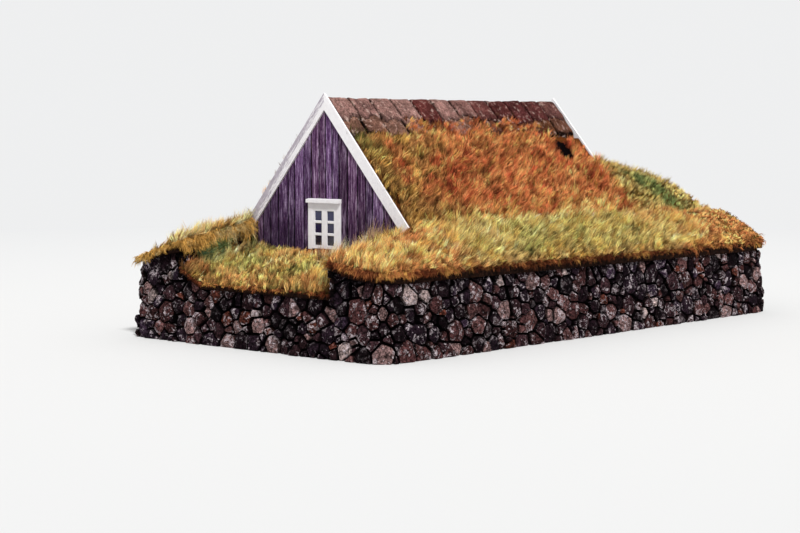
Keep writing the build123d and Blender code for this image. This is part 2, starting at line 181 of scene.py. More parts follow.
def noise(points, size, seed=0):
    """Smooth noise from 0 to 1 whose lumps are that size."""
    p = np.asarray(points) / size
    base = np.floor(p).astype(np.int64)
    f = p - base
    f = f * f * (3 - 2 * f)
    total = np.zeros(p.shape[:-1])
    for corner in np.ndindex(2, 2, 2):
        share = 1.0
        for axis, side in enumerate(corner):
            share = share * (f[..., axis] if side else 1 - f[..., axis])
        at = base + corner
        total += share * lattice(at[..., 0], at[..., 1], at[..., 2], seed)
    return total


def wobble(points, size, seed=0):
    """Three noises from -1 to 1, one for each direction."""
    return np.stack([noise(points, size, seed + k) for k in (11, 23, 37)], -1) * 2 - 1


def show(name, mesh, look, replaces=()):
    """A mesh as a piece that rides on the house."""
    mesh.materials.append(looks[look])
    piece = bpy.data.objects.new(name, mesh)
    bpy.context.scene.collection.objects.link(piece)
    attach(piece, "root")
    if replaces:
        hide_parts(*replaces)


def mesh_piece(name, shape, look, replaces=()):
    """A piece from (n, 3) points, (m, 3) corners and, where the look needs it, a colour for each point."""
    points, triangles = np.asarray(shape[0], np.float32), np.asarray(shape[1], np.int32)
    mesh = bpy.data.meshes.new(name)
    mesh.vertices.add(len(points))
    mesh.vertices.foreach_set("co", points.ravel())
    mesh.loops.add(triangles.size)
    mesh.loops.foreach_set("vertex_index", triangles.ravel())
    mesh.polygons.add(len(triangles))
    mesh.polygons.foreach_set("loop_start", np.arange(0, triangles.size, 3, dtype=np.int32))
    mesh.update(calc_edges=True)
    mesh.validate()
    mesh.shade_flat()
    if len(shape) > 2:
        colours = mesh.color_attributes.new("Tone", "FLOAT_COLOR", "POINT")
        rgba = np.concatenate([shape[2], np.ones((len(points), 1))], 1).astype(np.float32)
        colours.data.foreach_set("color", rgba.ravel())
    show(name, mesh, look, replaces)


def joined(shapes):
    """Several shapes as one, each given as points, triangles and, where it has them, tones."""
    starts = np.cumsum([0] + [len(shape[0]) for shape in shapes])
    triangles = [np.asarray(shape[1]) + start for shape, start in zip(shapes, starts)]
    tones = [np.concatenate(tones) for tones in zip(*(shape[2:] for shape in shapes))]
    return np.concatenate([shape[0] for shape in shapes]), np.concatenate(triangles), *tones


def about_face(shape, box):
    """The shape mirrored front to rear within its box."""
    points, triangles, tones = shape
    return points * [1, -1, 1] + [0, box[0].y + box[1].y, 0], triangles[:, ::-1], tones


def grid_triangles(rows, columns, start=0):
    """Corners of a grid of rows by columns points."""
    i, j = np.meshgrid(np.arange(rows - 1), np.arange(columns - 1), indexing="ij")
    a = (start + i * columns + j).ravel()
    b, c, d = a + 1, a + columns + 1, a + columns
    return np.concatenate([np.stack([a, b, c], 1), np.stack([a, c, d], 1)])


def side_triangles(a, after, step):
    """Two triangles from each point and the one after it to the two that lie a step further on."""
    return [np.stack([a, a + step, after + step], 1), np.stack([a, after + step, after], 1)]


def slab_shape(top, bottom):
    """Points and triangles of a closed shape between two grids of points, given as (rows, columns, 3)."""
    rows, columns = top.shape[:2]
    count = rows * columns
    points = np.concatenate([top.reshape(-1, 3), bottom.reshape(-1, 3)])
    upper = grid_triangles(rows, columns)
    lower = grid_triangles(rows, columns, count)[:, ::-1]
    ids = np.arange(count).reshape(rows, columns)
    rim = np.concatenate([ids[0, :], ids[1:, -1], ids[-1, -2::-1], ids[-2:0:-1, 0]])
    return points, np.concatenate([upper, lower, *side_triangles(rim, np.roll(rim, -1), count)])


# Materials

class Look:
    """A procedural material: one Principled shader and the nodes that feed it."""

    def __init__(self, name, roughness=0.9, specular=0.25):
        self.material = bpy.data.materials.new(name)
        self.material.use_nodes = True
        self.tree = self.material.node_tree
        self.shader = self.tree.nodes["Principled BSDF"]
        self.shader.inputs["Roughness"].default_value = roughness
        self.shader.inputs["Specular IOR Level"].default_value = specular
        self.place = self.tree.nodes.new("ShaderNodeTexCoord").outputs["Object"]

    def node(self, kind, **inputs):
        made = self.tree.nodes.new(kind)
        for name, value in inputs.items():
            self.feed(made.inputs[name.replace("_", " ")], value)
        return made

    def feed(self, socket, value):
        if isinstance(value, bpy.types.NodeSocket):
            self.tree.links.new(value, socket)
        else:
            socket.default_value = value

    def stretched(self, scale, shift=0.0, turn=0.0, place=None):
        """Coordinates turned about Y and scaled along each axis."""
        return self.node("ShaderNodeMapping", Vector=place or self.place, Scale=scale, Location=(shift,) * 3,
                         Rotation=(0.0, turn, 0.0)).outputs[0]

    def noise(self, scale, detail=5.0, roughness=0.6, place=None, distortion=0.0):
        made = self.node("ShaderNodeTexNoise", Scale=scale, Detail=detail, Roughness=roughness,
                         Distortion=distortion, Vector=place or self.place)
        return made.outputs["Fac"]

    def range(self, value, low, high, to_low=0.0, to_high=1.0):
        return self.node("ShaderNodeMapRange", Value=value, From_Min=low, From_Max=high, To_Min=to_low,
                         To_Max=to_high).outputs[0]

    def maths(self, operation, a, b):
        made = self.tree.nodes.new("ShaderNodeMath")
        made.operation = operation
        self.feed(made.inputs[0], a)
        self.feed(made.inputs[1], b)
        return made.outputs[0]

    def plus(self, a, b):
        return self.maths("ADD", a, b)

    def times(self, a, b):
        return self.maths("MULTIPLY", a, b)

    def axis(self, name, place=None):
        return self.node("ShaderNodeSeparateXYZ", Vector=place or self.place).outputs[name]

    def facing_up(self):
        return self.axis("Z", self.tree.nodes.new("ShaderNodeNewGeometry").outputs["Normal"])

    def tone(self):
        made = self.tree.nodes.new("ShaderNodeVertexColor")
        made.layer_name = "Tone"
        return made.outputs["Color"]

    def ramp(self, value, *stops):
        """Colours along a value, as (place, sRGB colour) pairs."""
        made = self.node("ShaderNodeValToRGB", Fac=value)
        elements = made.color_ramp.elements
        while len(elements) < len(stops):
            elements.new(0.5)
        for element, (where, colour) in zip(elements, stops):
            element.position = where
            element.color = (*from_srgb(colour), 1.0)
        return made.outputs["Color"]

    def mix(self, share, a, b, blend="MIX"):
        """Two colours mixed, the second a socket or an sRGB colour."""
        made = self.tree.nodes.new("ShaderNodeMix")
        made.data_type = "RGBA"
        made.blend_type = blend
        if not isinstance(b, bpy.types.NodeSocket):
            b = (*from_srgb(b), 1.0)
        for number, value in ((0, share), (6, a), (7, b)):
            self.feed(made.inputs[number], value)
        return made.outputs[2]

    def shaded(self, colour, value, low, high, to_low, to_high):
        """The colour made darker and lighter by a value."""
        grey = self.range(value, low, high, to_low, to_high)
        shade = self.node("ShaderNodeCombineColor", Red=grey, Green=grey, Blue=grey).outputs[0]
        return self.mix(1.0, colour, shade, "MULTIPLY")

    def bump(self, height, distance, strength=1.0):
        made = self.node("ShaderNodeBump", Height=height, Distance=distance, Strength=strength)
        self.tree.links.new(made.outputs[0], self.shader.inputs["Normal"])

    def colour(self, value):
        self.tree.links.new(value, self.shader.inputs["Base Color"])
        return self.material


def stone_look():
    look = Look("dry_stone", 0.9, 0.03)
    grain = look.noise(38.0, 8.0, 0.72)
    coarse = look.noise(9.0, 7.0, 0.68, distortion=0.8)
    tone = look.tone()
    rock = look.shaded(tone, grain, 0.37, 0.63, 0.1, 1.9)
    rock = look.shaded(rock, look.noise(17.0, 3.0, 0.6), 0.38, 0.62, 0.3, 1.75)
    # Rust and lichen stay off the rings darkened as painted joint shade, found by how dark the tone is.
    out_of_joint_shade = look.range(look.node("ShaderNodeRGBToBW", Color=tone).outputs[0], 0.0012, 0.009)
    rust = look.times(look.range(look.noise(4.2, 4.0, 0.6), 0.58, 0.7, 0.0, 0.3), out_of_joint_shade)
    region = look.range(look.noise(4.2, 2.0), 0.36, 0.64, -0.1, 0.08)
    spots = look.plus(look.plus(coarse, look.times(look.noise(16.0, 5.0, 0.66), 0.5)), region)
    flecks = look.range(look.noise(56.0, 4.0, 0.66), 0.43, 0.55, 0.1, 1.0)
    lichen = look.times(look.times(look.range(spots, 0.79, 0.86), flecks), out_of_joint_shade)
    lichen_colour = look.ramp(look.noise(24.0, 3.0), (0.35, (126, 111, 114)), (0.62, (226, 213, 218)))
    look.bump(look.plus(look.times(grain, 0.7), coarse), 0.045)
    return look.colour(look.mix(lichen, look.mix(rust, rock, (96, 48, 36)), lichen_colour))


def core_look():
    look = Look("joint_earth_in_painted_shade", 0.95, 0.02)
    soil = look.noise(18.0, 6.0, 0.7)
    look.bump(soil, 0.03)
    # Painted shade: the joint earth is near black, as it is deep in the open joints.
    return look.colour(look.ramp(soil, (0.3, (3, 1, 2)), (0.7, (12, 6, 7))))


def turf_look(name, low, middle, high):
    """Thatch and earth under the growing grass; the cut edges are earth painted near black, as shade under the
    overhanging grass.
    """
    look = Look(name, 0.95, 0.03)
    patch = look.noise(1.6, 5.0, 0.62, distortion=0.4)
    strands = look.noise(60.0, 6.0, 0.75, look.stretched((1.0, 1.0, 0.35)))
    clods = look.noise(14.0, 5.0, 0.65, distortion=0.6)
    grass = look.ramp(patch, (0.32, low), (0.5, middle), (0.68, high))
    grass = look.shaded(grass, strands, 0.3, 0.7, 0.3, 1.05)
    # Painted shade: the earth of the cut edges runs down to near black, for the shade under the overhanging
    # grass.
    earth = look.ramp(clods, (0.35, (14, 7, 6)), (0.6, (42, 25, 18)), (0.72, (70, 46, 32)))
    earth = look.shaded(earth, strands, 0.3, 0.7, 0.5, 1.4)
    look.bump(look.plus(strands, clods), 0.05)
    return look.colour(look.mix(look.range(look.facing_up(), 0.35, 0.6), earth, grass))


def blade_look():
    look = Look("grass_blades", 0.8, 0.05)
    return look.colour(look.shaded(look.tone(), look.noise(38.0, 3.0, 0.6), 0.3, 0.7, 0.75, 1.25))


def ridge_look():
    look = Look("cut_ridge_turf", 0.95, 0.04)
    fine = look.noise(30.0, 7.0, 0.8)
    coarse = look.noise(8.0, 6.0, 0.65, distortion=0.5)
    sod = look.shaded(look.tone(), fine, 0.36, 0.64, 0.08, 1.85)
    sod = look.shaded(sod, coarse, 0.3, 0.7, 0.5, 1.2)
    lichen = look.range(look.plus(coarse, look.times(fine, 0.5)), 0.82, 0.92, 0.0, 0.85)
    moss = look.range(look.noise(3.5, 4.0, 0.6), 0.6, 0.72, 0.0, 0.35)
    look.bump(look.plus(fine, coarse), 0.05)
    return look.colour(look.mix(moss, look.mix(lichen, sod, (206, 178, 166)), (112, 86, 60)))


def board_look():
    """Weathered upright boards with long streaks of bare silvered wood, darker towards the ground."""
    look = Look("weathered_boards", 0.85, 0.06)
    long_grain = look.noise(42.0, 6.0, 0.78, look.stretched((1.0, 1.0, 0.05)), 0.3)
    short_grain = look.noise(95.0, 5.0, 0.72, look.stretched((1.0, 1.0, 0.16)))
    worn = look.noise(3.4, 5.0, 0.66, look.stretched((1.0, 1.0, 0.4)))
    wood = look.ramp(long_grain, (0.34, (20, 6, 27)), (0.5, (83, 53, 91)), (0.68, (176, 155, 187)))
    wood = look.shaded(wood, short_grain, 0.34, 0.66, 0.4, 1.5)
    wood = look.mix(1.0, wood, look.tone(), "MULTIPLY")
    height = look.plus(look.axis("Z"), look.range(worn, 0.3, 0.7, -0.5, 0.5))
    wood = look.shaded(wood, height, 1.7, 3.3, 0.5, 1.2)
    bare = look.times(look.range(worn, 0.5, 0.66), look.range(long_grain, 0.48, 0.6))
    bare = look.times(bare, look.range(height, 2.0, 3.2, 0.2, 0.9))
    look.bump(look.plus(long_grain, short_grain), 0.006)
    return look.colour(look.mix(bare, wood, (190, 168, 198)))


def old_wood_look():
    look = Look("old_wood", 0.8, 0.2)
    along = look.noise(14.0, 6.0, 0.65, look.stretched((1.0, 0.12, 0.25)), 0.4)
    look.bump(along, 0.006)
    return look.colour(look.ramp(along, (0.3, (58, 40, 27)), (0.55, (106, 80, 55)), (0.75, (146, 116, 86))))


def paint_look(name, wear, from_height=0.0, to_height=1.0, outer_edge=None):
    """White paint that wears to grey wood, most low down, and in streaks by a sloping board's outer edge."""
    look = Look(name, 0.55, 0.35)
    grain = look.noise(48.0, 5.0, 0.65, look.stretched((1.0, 1.0, 0.2)), 0.2)
    blotch = look.noise(6.0, 6.0, 0.68, distortion=0.5)
    paint = look.ramp(blotch, (0.3, (228, 224, 226)), (0.7, (243, 241, 242)))
    wood = look.ramp(grain, (0.35, (118, 104, 120)), (0.65, (176, 166, 180)))
    low_down = look.range(look.axis("Z"), from_height, to_height, 0.16, 0.0)
    rubbed = look.plus(look.times(look.noise(34.0, 4.0, 0.7), 0.6), look.times(blotch, 0.4))
    worn = look.range(look.plus(rubbed, low_down), 0.6, 0.7, 0.0, wear)
    if outer_edge:
        turned = look.stretched((1.0, 1.0, 1.0), turn=pitch)
        streaks = look.noise(34.0, 5.0, 0.7, look.stretched((0.12, 1.0, 1.0), place=turned))
        by_edge = look.range(look.axis("Z", turned), outer_edge - 0.19, outer_edge - 0.05, -0.16, 0.12)
        streaks = look.plus(look.plus(streaks, by_edge), low_down)
        worn = look.maths("MAXIMUM", look.range(streaks, 0.5, 0.64, 0.0, wear), look.times(worn, 0.5))
    look.bump(grain, 0.002, 0.6)
    return look.colour(look.mix(worn, paint, wood))


def glass_look():
    look = Look("window_glass", 0.06, 0.5)
    # Painted light: near black blue-violet for the unlit room behind, turning lighter and bluer towards the top
    # as a painted reflection.
    depth = look.range(look.axis("Z"), glass_low.z, glass_high.z)
    painted_reflection = look.plus(look.times(depth, 0.7), look.times(look.noise(5.0), 0.3))
    return look.colour(look.ramp(painted_reflection, (0.2, (28, 27, 38)), (0.5, (30, 26, 62)), (0.9, (44, 44, 84))))


looks = {
    "stone": stone_look(),
    "core": core_look(),
    "blade": blade_look(),
    "ridge": ridge_look(),
    "boards": board_look(),
    "old_wood": old_wood_look(),
    "paint": paint_look("white_paint", 0.25),
    "paint_right": paint_look("white_paint_right", 0.25, bargeboard_foot, apex),
    "paint_left": paint_look("white_paint_left", 0.8, bargeboard_foot, apex, apex * cos(pitch)),
    "glass": glass_look(),
    "gold_turf": turf_look("gold_turf", (84, 60, 26), (118, 88, 38), (92, 84, 36)),
    "rust_turf": turf_look("rust_turf", (92, 46, 22), (128, 70, 30), (96, 66, 30)),
    "green_turf": turf_look("green_turf", (86, 66, 30), (96, 88, 38), (70, 78, 36)),
}


# Walls

def wall_runs():
    """The wall's foot line from the middle of the rear, by the left side and the front, back to the rear."""
    x, r, big = half_width, tight_corner, round_corner
    return [
        ("line", (0.0, y_rear), (-x + r, y_rear), (0.0, 1.0)),
        ("arc", (-x + r, y_rear - r), r, pi / 2),
        ("line", (-x, y_rear - r), (-x, y_front + r), (-1.0, 0.0)),
        ("arc", (-x + r, y_front + r), r, pi),
        ("line", (-x + r, y_front), (x - big, y_front), (0.0, -1.0)),
        ("arc", (x - big, y_front + big), big, 3 * pi / 2),
        ("line", (x, y_front + big), (x, y_rear - r), (1.0, 0.0)),
        ("arc", (x - r, y_rear - r), r, 2 * pi),
        ("line", (x - r, y_rear), (0.0, y_rear), (0.0, 1.0)),
    ]


def run_length(run):
    if run[0] == "arc":
        return run[2] * pi / 2
    return hypot(run[2][0] - run[1][0], run[2][1] - run[1][1])


runs = wall_runs()
run_starts = np.concatenate([[0.0], np.cumsum([run_length(r) for r in runs])])
wall_length = run_starts[-1]


def foot_and_normal(s):
    """Points of the foot line and their outward directions, for distances along it."""
    s = np.clip(np.asarray(s, float), 0.0, wall_length - 1e-6)
    foot, normal = np.zeros((*s.shape, 2)), np.zeros((*s.shape, 2))
    which = np.searchsorted(run_starts, s, side="right") - 1
    for k, run in enumerate(runs):
        here = which == k
        along = s[here] - run_starts[k]
        if run[0] == "arc":
            angle = run[3] + along / run[2]
            out = np.stack([np.cos(angle), np.sin(angle)], -1)
            foot[here] = np.array(run[1]) + run[2] * out
            normal[here] = out
        else:
            start, end = np.array(run[1]), np.array(run[2])
            foot[here] = start + (end - start) * (along / run_length(run))[:, None]
            normal[here] = run[3]
    return foot, normal


def on_wall(s, z, out):
    """Points on the battered wall, out from its face."""
    foot, normal = foot_and_normal(s)
    plan = foot + normal * (out - batter * z)[..., None]
    return np.concatenate([plan, np.asarray(z)[..., None]], -1)


def front_s(x):
    """Distance along the foot line of an x on the front wall."""
    return run_starts[4] + x + half_width - tight_corner


def top_line():
    """The facing's top as (distance, height) pairs, with both heights where it steps."""
    half_turn = tight_corner * pi / 4
    return [
        (0.0, rear_height),
        (eave_x, rear_eave_height),
        (run_starts[1] + half_turn, side_height),
        (run_starts[3] - corner_run, side_height),
        (run_starts[3] + half_turn, corner_left_height),
        (front_s(-ledge_x), wing_left_height),
        (front_s(-ledge_x), ledge_height + ledge_ramp_height),
        (front_s(-ledge_x + ledge_ramp_width), ledge_height),
        (front_s(ledge_x), ledge_height),
        (front_s(ledge_x), wing_right_height),
        (front_s(ledge_x + knee_width), side_height + knee_rise),
        (run_starts[5] + round_corner * pi / 4, side_height),
        (run_starts[7] + half_turn, side_height),
        (wall_length - eave_x, rear_eave_height),
        (wall_length, rear_height),
    ]


wall_top = top_line()


def clipped(polygon, normal, limit):
    """The part of a convex polygon where the dot product with normal is at most the limit."""
    side = polygon @ normal - limit
    if (side <= 0).all():
        return polygon
    if (side > 0).all():
        return polygon[:0]
    kept = []
    for k in range(len(polygon)):
        a, b, sa, sb = polygon[k - 1], polygon[k], side[k - 1], side[k]
        if (sa <= 0) != (sb <= 0):
            kept.append(a + (b - a) * (sa / (sa - sb)))
        if sb <= 0:
            kept.append(b)
    return np.array(kept)


def rubble_sites(low, high, rng, scale=1.0, fixed=()):
    """Stones of mixed sizes, the big ones placed first, as (distance, height, radius) rows."""
    sites = np.array(fixed, float).reshape(-1, 3)
    area = (high[0] - low[0]) * (high[1] - low[1])
    for radius, tries in stone_sizes:
        count = int(tries * area / (radius * scale) ** 2)
        places = rng.uniform(low, high, (count, 2))
        radii = radius * scale * rng.uniform(0.82, 1.22, count)
        for (s, z), r in zip(places, radii):
            gaps = np.hypot(sites[:, 0] - s, (sites[:, 1] - z) * stone_squash)
            if (gaps > 0.84 * (sites[:, 2] + r)).all():
                sites = np.concatenate([sites, [[s, z, r]]])
    return sites


def rubble_cells(sites, limits_of, rng, joint):
    """The outline of each stone: the points nearest to it for its size, less half a joint all round."""
    squash = np.array([1.0, stone_squash])
    largest = 0.6 * np.array([(-1, -1), (1, -1), (1, 1), (-1, 1)])
    flat = sites[:, :2] * squash
    weights = sites[:, 2] ** 2
    cells = []
    for k, middle in enumerate(flat):
        gaps = ((flat - middle) ** 2).sum(1)
        polygon = middle + largest
        half_joint = joint * rng.uniform(0.6, 1.5) / 2
        for n in np.argsort(gaps)[1:neighbours + 1]:
            if len(polygon) >= 3:
                to = flat[n] - middle
                limit = middle @ to + (gaps[n] + weights[k] - weights[n]) / 2 - half_joint * np.sqrt(gaps[n])
                polygon = clipped(polygon, to, limit)
        polygon = polygon / squash
        for normal, limit in limits_of(sites[k]):
            if len(polygon) >= 3:
                polygon = clipped(polygon, np.array(normal, float), limit)
        cells.append(polygon)
    return cells


def area_of(polygon):
    x, y = polygon[:, 0], polygon[:, 1]
    return abs(np.dot(x, np.roll(y, -1)) - np.dot(y, np.roll(x, -1))) / 2


def rounded(polygon, cut, shortest=0.018):
    """The outline with its corners cut, and without its shortest sides."""
    after = np.roll(polygon, -1, 0)
    far = np.linalg.norm(after - polygon, axis=1) > shortest
    polygon = polygon[far] if far.sum() >= 3 else polygon
    after = np.roll(polygon, -1, 0)
    polygon = np.stack([polygon * (1 - cut) + after * cut, polygon * cut + after * (1 - cut)], 1)
    return polygon.reshape(-1, 2)


stone_tones = np.array([from_srgb(c) for c in (
    (44, 28, 31), (30, 20, 27), (20, 11, 15), (62, 38, 38), (82, 55, 54), (47, 35, 47), (112, 88, 86),
    (78, 42, 34), (148, 130, 127))])
stone_tone_shares = np.array([0.2, 0.17, 0.15, 0.16, 0.1, 0.07, 0.06, 0.06, 0.03])
pale_tone = stone_tones[6] * 0.9


def ring_triangles(around, rings):
    """Triangles of nested rings with a point in the middle of the last."""
    ring = np.arange(around)
    after = np.roll(ring, -1)
    triangles = []
    last = (rings - 1) * around
    for start in range(0, last, around):
        a, b = ring + start, after + start
        triangles += [np.stack([a, b, b + around], 1), np.stack([a, b + around, a + around], 1)]
    triangles.append(np.stack([ring + last, after + last, np.full(around, last + around)], 1))
    return np.concatenate(triangles)


def broken_face(outline, rings, lump, rng):
    """Rings of a stone's outline and how far each point stands out, cut by four slanting breaks."""
    middle = outline.mean(0)
    turned = rng.uniform(0, 2 * pi) + pi / 2 * np.arange(4) + rng.normal(size=4) * 0.4
    slants = np.stack([np.cos(turned), np.sin(turned)], 1) * rng.uniform(0.15, 0.85, (4, 1))
    heights = rng.uniform(0.008, 0.042, 4) * lump
    flat, out = [], []
    for scale, depth in rings:
        spot = middle + (outline - middle) * scale
        broken = (heights - (spot - middle) @ slants.T).min(1)
        flat.append(spot)
        out.append(np.minimum(depth, np.maximum(broken, min(depth, deepest_break))))
    return np.concatenate([*flat, middle[None]]), np.concatenate([*out, [heights.min()]])


def stones_from(cells, place, rng, proud=0.0, pale=()):
    """Angular stones that fill the outlines, set in a wall given by place(s, z, out)."""
    parts = []
    for cell in cells:
        if len(cell) < 3 or area_of(cell) < least_area:
            continue
        size = np.sqrt(area_of(cell))
        rings = small_stone_rings if size < small_stone else stone_rings
        outline = rounded(cell, rng.uniform(0.04, 0.13))
        around = len(outline)
        lump = min(1.0, size / 0.2)
        lift = rng.uniform(-0.05, 0.02) * lump + proud
        flat, out = broken_face(outline, rings, lump, rng)
        out = out + lift
        out[around:] += rng.normal(size=len(out) - around) * 0.004
        points = place(flat[:, 0], np.maximum(flat[:, 1], 0.0), out)
        shaken = points + wobble(points, 0.07, 3) * 0.006
        shaken[:around] = points[:around]
        at_foot = np.where(flat[:, 1] < 0.02, points[:, 2], shaken[:, 2])
        shaken[:, 2] = np.maximum(at_foot, 0.0)
        tone = stone_tones[rng.choice(len(stone_tones), p=stone_tone_shares)] * rng.uniform(0.5, 1.35)
        if any(hypot(flat[-1, 0] - s, flat[-1, 1] - z) < pale_reach for s, z in pale):
            tone = pale_tone
        tones = tone * rng.uniform(0.75, 1.25, (len(points), 1))
        # Painted shade: the two outer rings, down in the open joint, are darkened to 0.03 and 0.25 of the
        # stone's tone.
        tones[:around] *= 0.03
        tones[around:2 * around] *= 0.25
        parts.append((shaken, ring_triangles(around, len(rings)), tones))
    return parts


def wall_limits(site):
    """Lines that bound the stone at a site, each as (normal, limit)."""
    s, z = site[:2]
    limits = [((0.0, -1.0), 0.0)]
    spans = list(zip(wall_top, wall_top[1:]))
    for k, ((s0, z0), (s1, z1)) in enumerate(spans):
        if not s0 <= s < s1:
            continue
        rise = (z1 - z0) / (s1 - s0)
        limits.append(((-rise, 1.0), z0 - rise * s0 - clearance))
        for n in (k - 1, k + 1):
            if not 0 <= n < len(spans) or spans[n][0][0] == spans[n][1][0]:
                continue
            (a, height_a), (b, height_b) = spans[n]
            other = (height_b - height_a) / (b - a)
            crest = other >= rise if n < k else other <= rise
            if crest:
                limits.append(((-other, 1.0), height_a - other * a - clearance))
    left_end, right_end = front_s(-ledge_x), front_s(ledge_x)
    if s < left_end and z > ledge_height + ledge_ramp_height - 0.05:
        limits.append(((1.0, 0.0), left_end - clearance))
    if s > right_end and z > ledge_height - 0.05:
        limits.append(((-1.0, 0.0), -right_end - clearance))
    if z < passage_height + 0.25 and s > passage_half:
        limits.append(((-1.0, 0.0), -passage_half - clearance))
    if z < passage_height + 0.25 and s < wall_length - passage_half:
        limits.append(((1.0, 0.0), wall_length - passage_half - clearance))
    if z > passage_height and not passage_half + 0.15 <= s <= wall_length - passage_half - 0.15:
        limits.append(((0.0, -1.0), -passage_height))
    return limits


def height_at(s):
    for (s0, z0), (s1, z1) in zip(wall_top, wall_top[1:]):
        if s0 <= s < s1:
            return z0 + (s - s0) / (s1 - s0) * (z1 - z0)
    return wall_top[-1][1]


def in_wall(site):
    s, z = site[:2]
    in_door = (s < passage_half or s > wall_length - passage_half) and z < passage_height + 0.02
    return 0.02 < z < height_at(s) - 0.03 and not in_door


def core(s_from, s_to, z_from=0.0):
    """Earth and small stone behind the facing stones, painted near black as shade in the open joints, from a
    distance along the wall to another.
    """
    steps = [s for s, _ in wall_top if s_from < s < s_to]
    stations = sorted(set(np.round([*np.arange(s_from, s_to, core_step), *steps, s_to], 6)))
    inner_x, inner_front, inner_rear = (
        half_width - facing_thickness, y_front + facing_thickness, y_rear - facing_thickness)
    rows = []
    for s in stations:
        heights = [z for at, z in wall_top if abs(at - s) < 1e-5] or [height_at(s)]
        if s == stations[0]:
            heights = heights[-1:]
        if s == stations[-1]:
            heights = heights[:1]
        (foot,), (normal,) = foot_and_normal(np.array([s]))
        inner = np.clip(foot, (-inner_x, inner_front), (inner_x, inner_rear))
        for top in np.array(heights) - core_top_gap:
            outer_low = foot - normal * (core_depth + batter * z_from)
            outer_high = foot - normal * (core_depth + batter * top)
            rows.append([(*outer_low, z_from), (*outer_high, top), (*inner, top), (*inner, z_from)])
    around = np.arange(4)
    triangles, end = [], 4 * (len(rows) - 1)
    for start in range(0, end, 4):
        triangles += side_triangles(around + start, np.roll(around, -1) + start, 4)
    triangles += [np.array([(0, 1, 2), (0, 2, 3)]), np.array([(0, 2, 1), (0, 3, 2)]) + end]
    return np.array(rows).reshape(-1, 3), np.concatenate(triangles)


def flat_place(origin, along, outward):
    """Place function of an upright flat face."""
    def place(s, z, out):
        plan = np.array(origin) + s[:, None] * np.array(along) + out[:, None] * np.array(outward)
        return np.concatenate([plan, z[:, None]], 1)
    return place


def flat_rubble(origin, along, outward, corners, rng, scale, proud):
    """Stones on an upright flat face, within a convex outline of (distance, height) corners."""
    corners = np.array(corners)
    edge = np.roll(corners, -1, 0) - corners
    normals = np.stack([edge[:, 1], -edge[:, 0]], 1)
    limits = [(n, n @ c) for n, c in zip(normals, corners)]
    sites = rubble_sites(corners.min(0), corners.max(0), rng, scale)
    inside = [all(site[:2] @ n < limit for n, limit in limits) for site in sites]
    cells = rubble_cells(sites[inside], lambda site: limits, rng, tight_joint)
    return stones_from(cells, flat_place(origin, along, outward), rng, proud)


def ledge_cheeks(rng):
    """Stones of the two wings' ends, which face each other across the ledge."""
    low, high = ledge_height + ledge_ramp_height - 0.1, wing_left_height
    deep = cheek_y - y_front - 0.02
    left = [(0.16, low), (deep, low + 0.25), (deep, high + 0.2), (0.62, high), (0.16, high)]
    low, high, deep = ledge_height - 0.05, wing_right_height, facing_thickness
    right = [(0.15, low), (deep, low), (deep, high), (0.15, high)]
    return (flat_rubble((-ledge_x, y_front), (0, 1), (1, 0), left, rng, 0.8, 0.02)
            + flat_rubble((ledge_x, y_front), (0, 1), (-1, 0), right, rng, 0.9, 0.02))


def passage_sides(rng):
    """Stones of the rear wall's ends, on both sides before the door."""
    deep = y_rear - door_face
    outline = [(0.0, 0.0), (deep, 0.0), (deep, passage_height), (0.2, passage_height)]
    stones = []
    for side in (-1.0, 1.0):
        stones += flat_rubble((side * passage_half, y_rear), (0, -1), (-side, 0), outline, rng, 0.9, -0.03)
    return stones


def build_walls():
    rng = np.random.default_rng(7)
    blocks = [(front_s(x), z, radius) for x, z, radius in foot_blocks]
    pale = [(front_s(x), z) for x, z in pale_blocks]
    sites = rubble_sites((0.0, 0.0), (wall_length, rear_height), rng, 1.0, blocks)
    sites = np.array([site for site in sites if in_wall(site)])
    cells = rubble_cells(sites, wall_limits, rng, open_joint)
    rear_left, front_left, front_right, rear_right = run_starts[[2, 3, 6, 7]]
    rear_left -= 0.05  # past the corner's end, so that its last stones lie on the rear wall
    jamb = passage_half + 0.03
    stretches = (
        ("left", [(rear_left, front_left)], ["left_stone_wall"]),
        ("front", [(front_left, front_right)], [
            "front_stone_wall", "front_left_stone_wing", "front_right_stone_wing", "front_left_stone_corner",
            "front_right_stone_corner"]),
        ("right", [(front_right, rear_right)], ["right_stone_wall"]),
        ("rear", [(0.0, rear_left), (rear_right, wall_length)], [
            "rear_left_stone_wall", "rear_right_stone_wall", "rear_left_stone_corner",
            "rear_right_stone_corner", "stones_over_door"]),
    )
    for name, spans, replaced in stretches:
        own = [cell for cell, site in zip(cells, sites) if any(a <= site[0] < b for a, b in spans)]
        stones = stones_from(own, on_wall, rng, 0.0, pale if name != "rear" else ())
        cores = spans
        if name == "front":
            stones += ledge_cheeks(rng)
        if name == "rear":
            stones += passage_sides(rng)
            cores = [(jamb, rear_left), (rear_right, wall_length - jamb), (0.0, jamb, passage_height),
                     (wall_length - jamb, wall_length - 1e-4, passage_height)]
        mesh_piece(name + "_wall_stones", joined(stones), "stone", replaced)
        mesh_piece(name + "_wall_core", joined([core(*span) for span in cores]), "core")


# Grass

def faces_of(names):
    """Corners and normals of the nodes' triangles."""
    corners, normals = [], []
    for name in names:
        mesh = nodes[name].data
        mesh.calc_loop_triangles()
        at = np.empty(len(mesh.vertices) * 3)
        mesh.vertices.foreach_get("co", at)
        index = np.empty(len(mesh.loop_triangles) * 3, np.int32)
        mesh.loop_triangles.foreach_get("vertices", index)
        shape = at.reshape(-1, 3)[index.reshape(-1, 3)]
        cross = np.cross(shape[:, 1] - shape[:, 0], shape[:, 2] - shape[:, 0])
        fair = np.linalg.norm(cross, axis=1) > 1e-9
        corners.append(shape[fair])
        normals.append(unit(cross[fair]))
    return np.concatenate(corners), np.concatenate(normals)


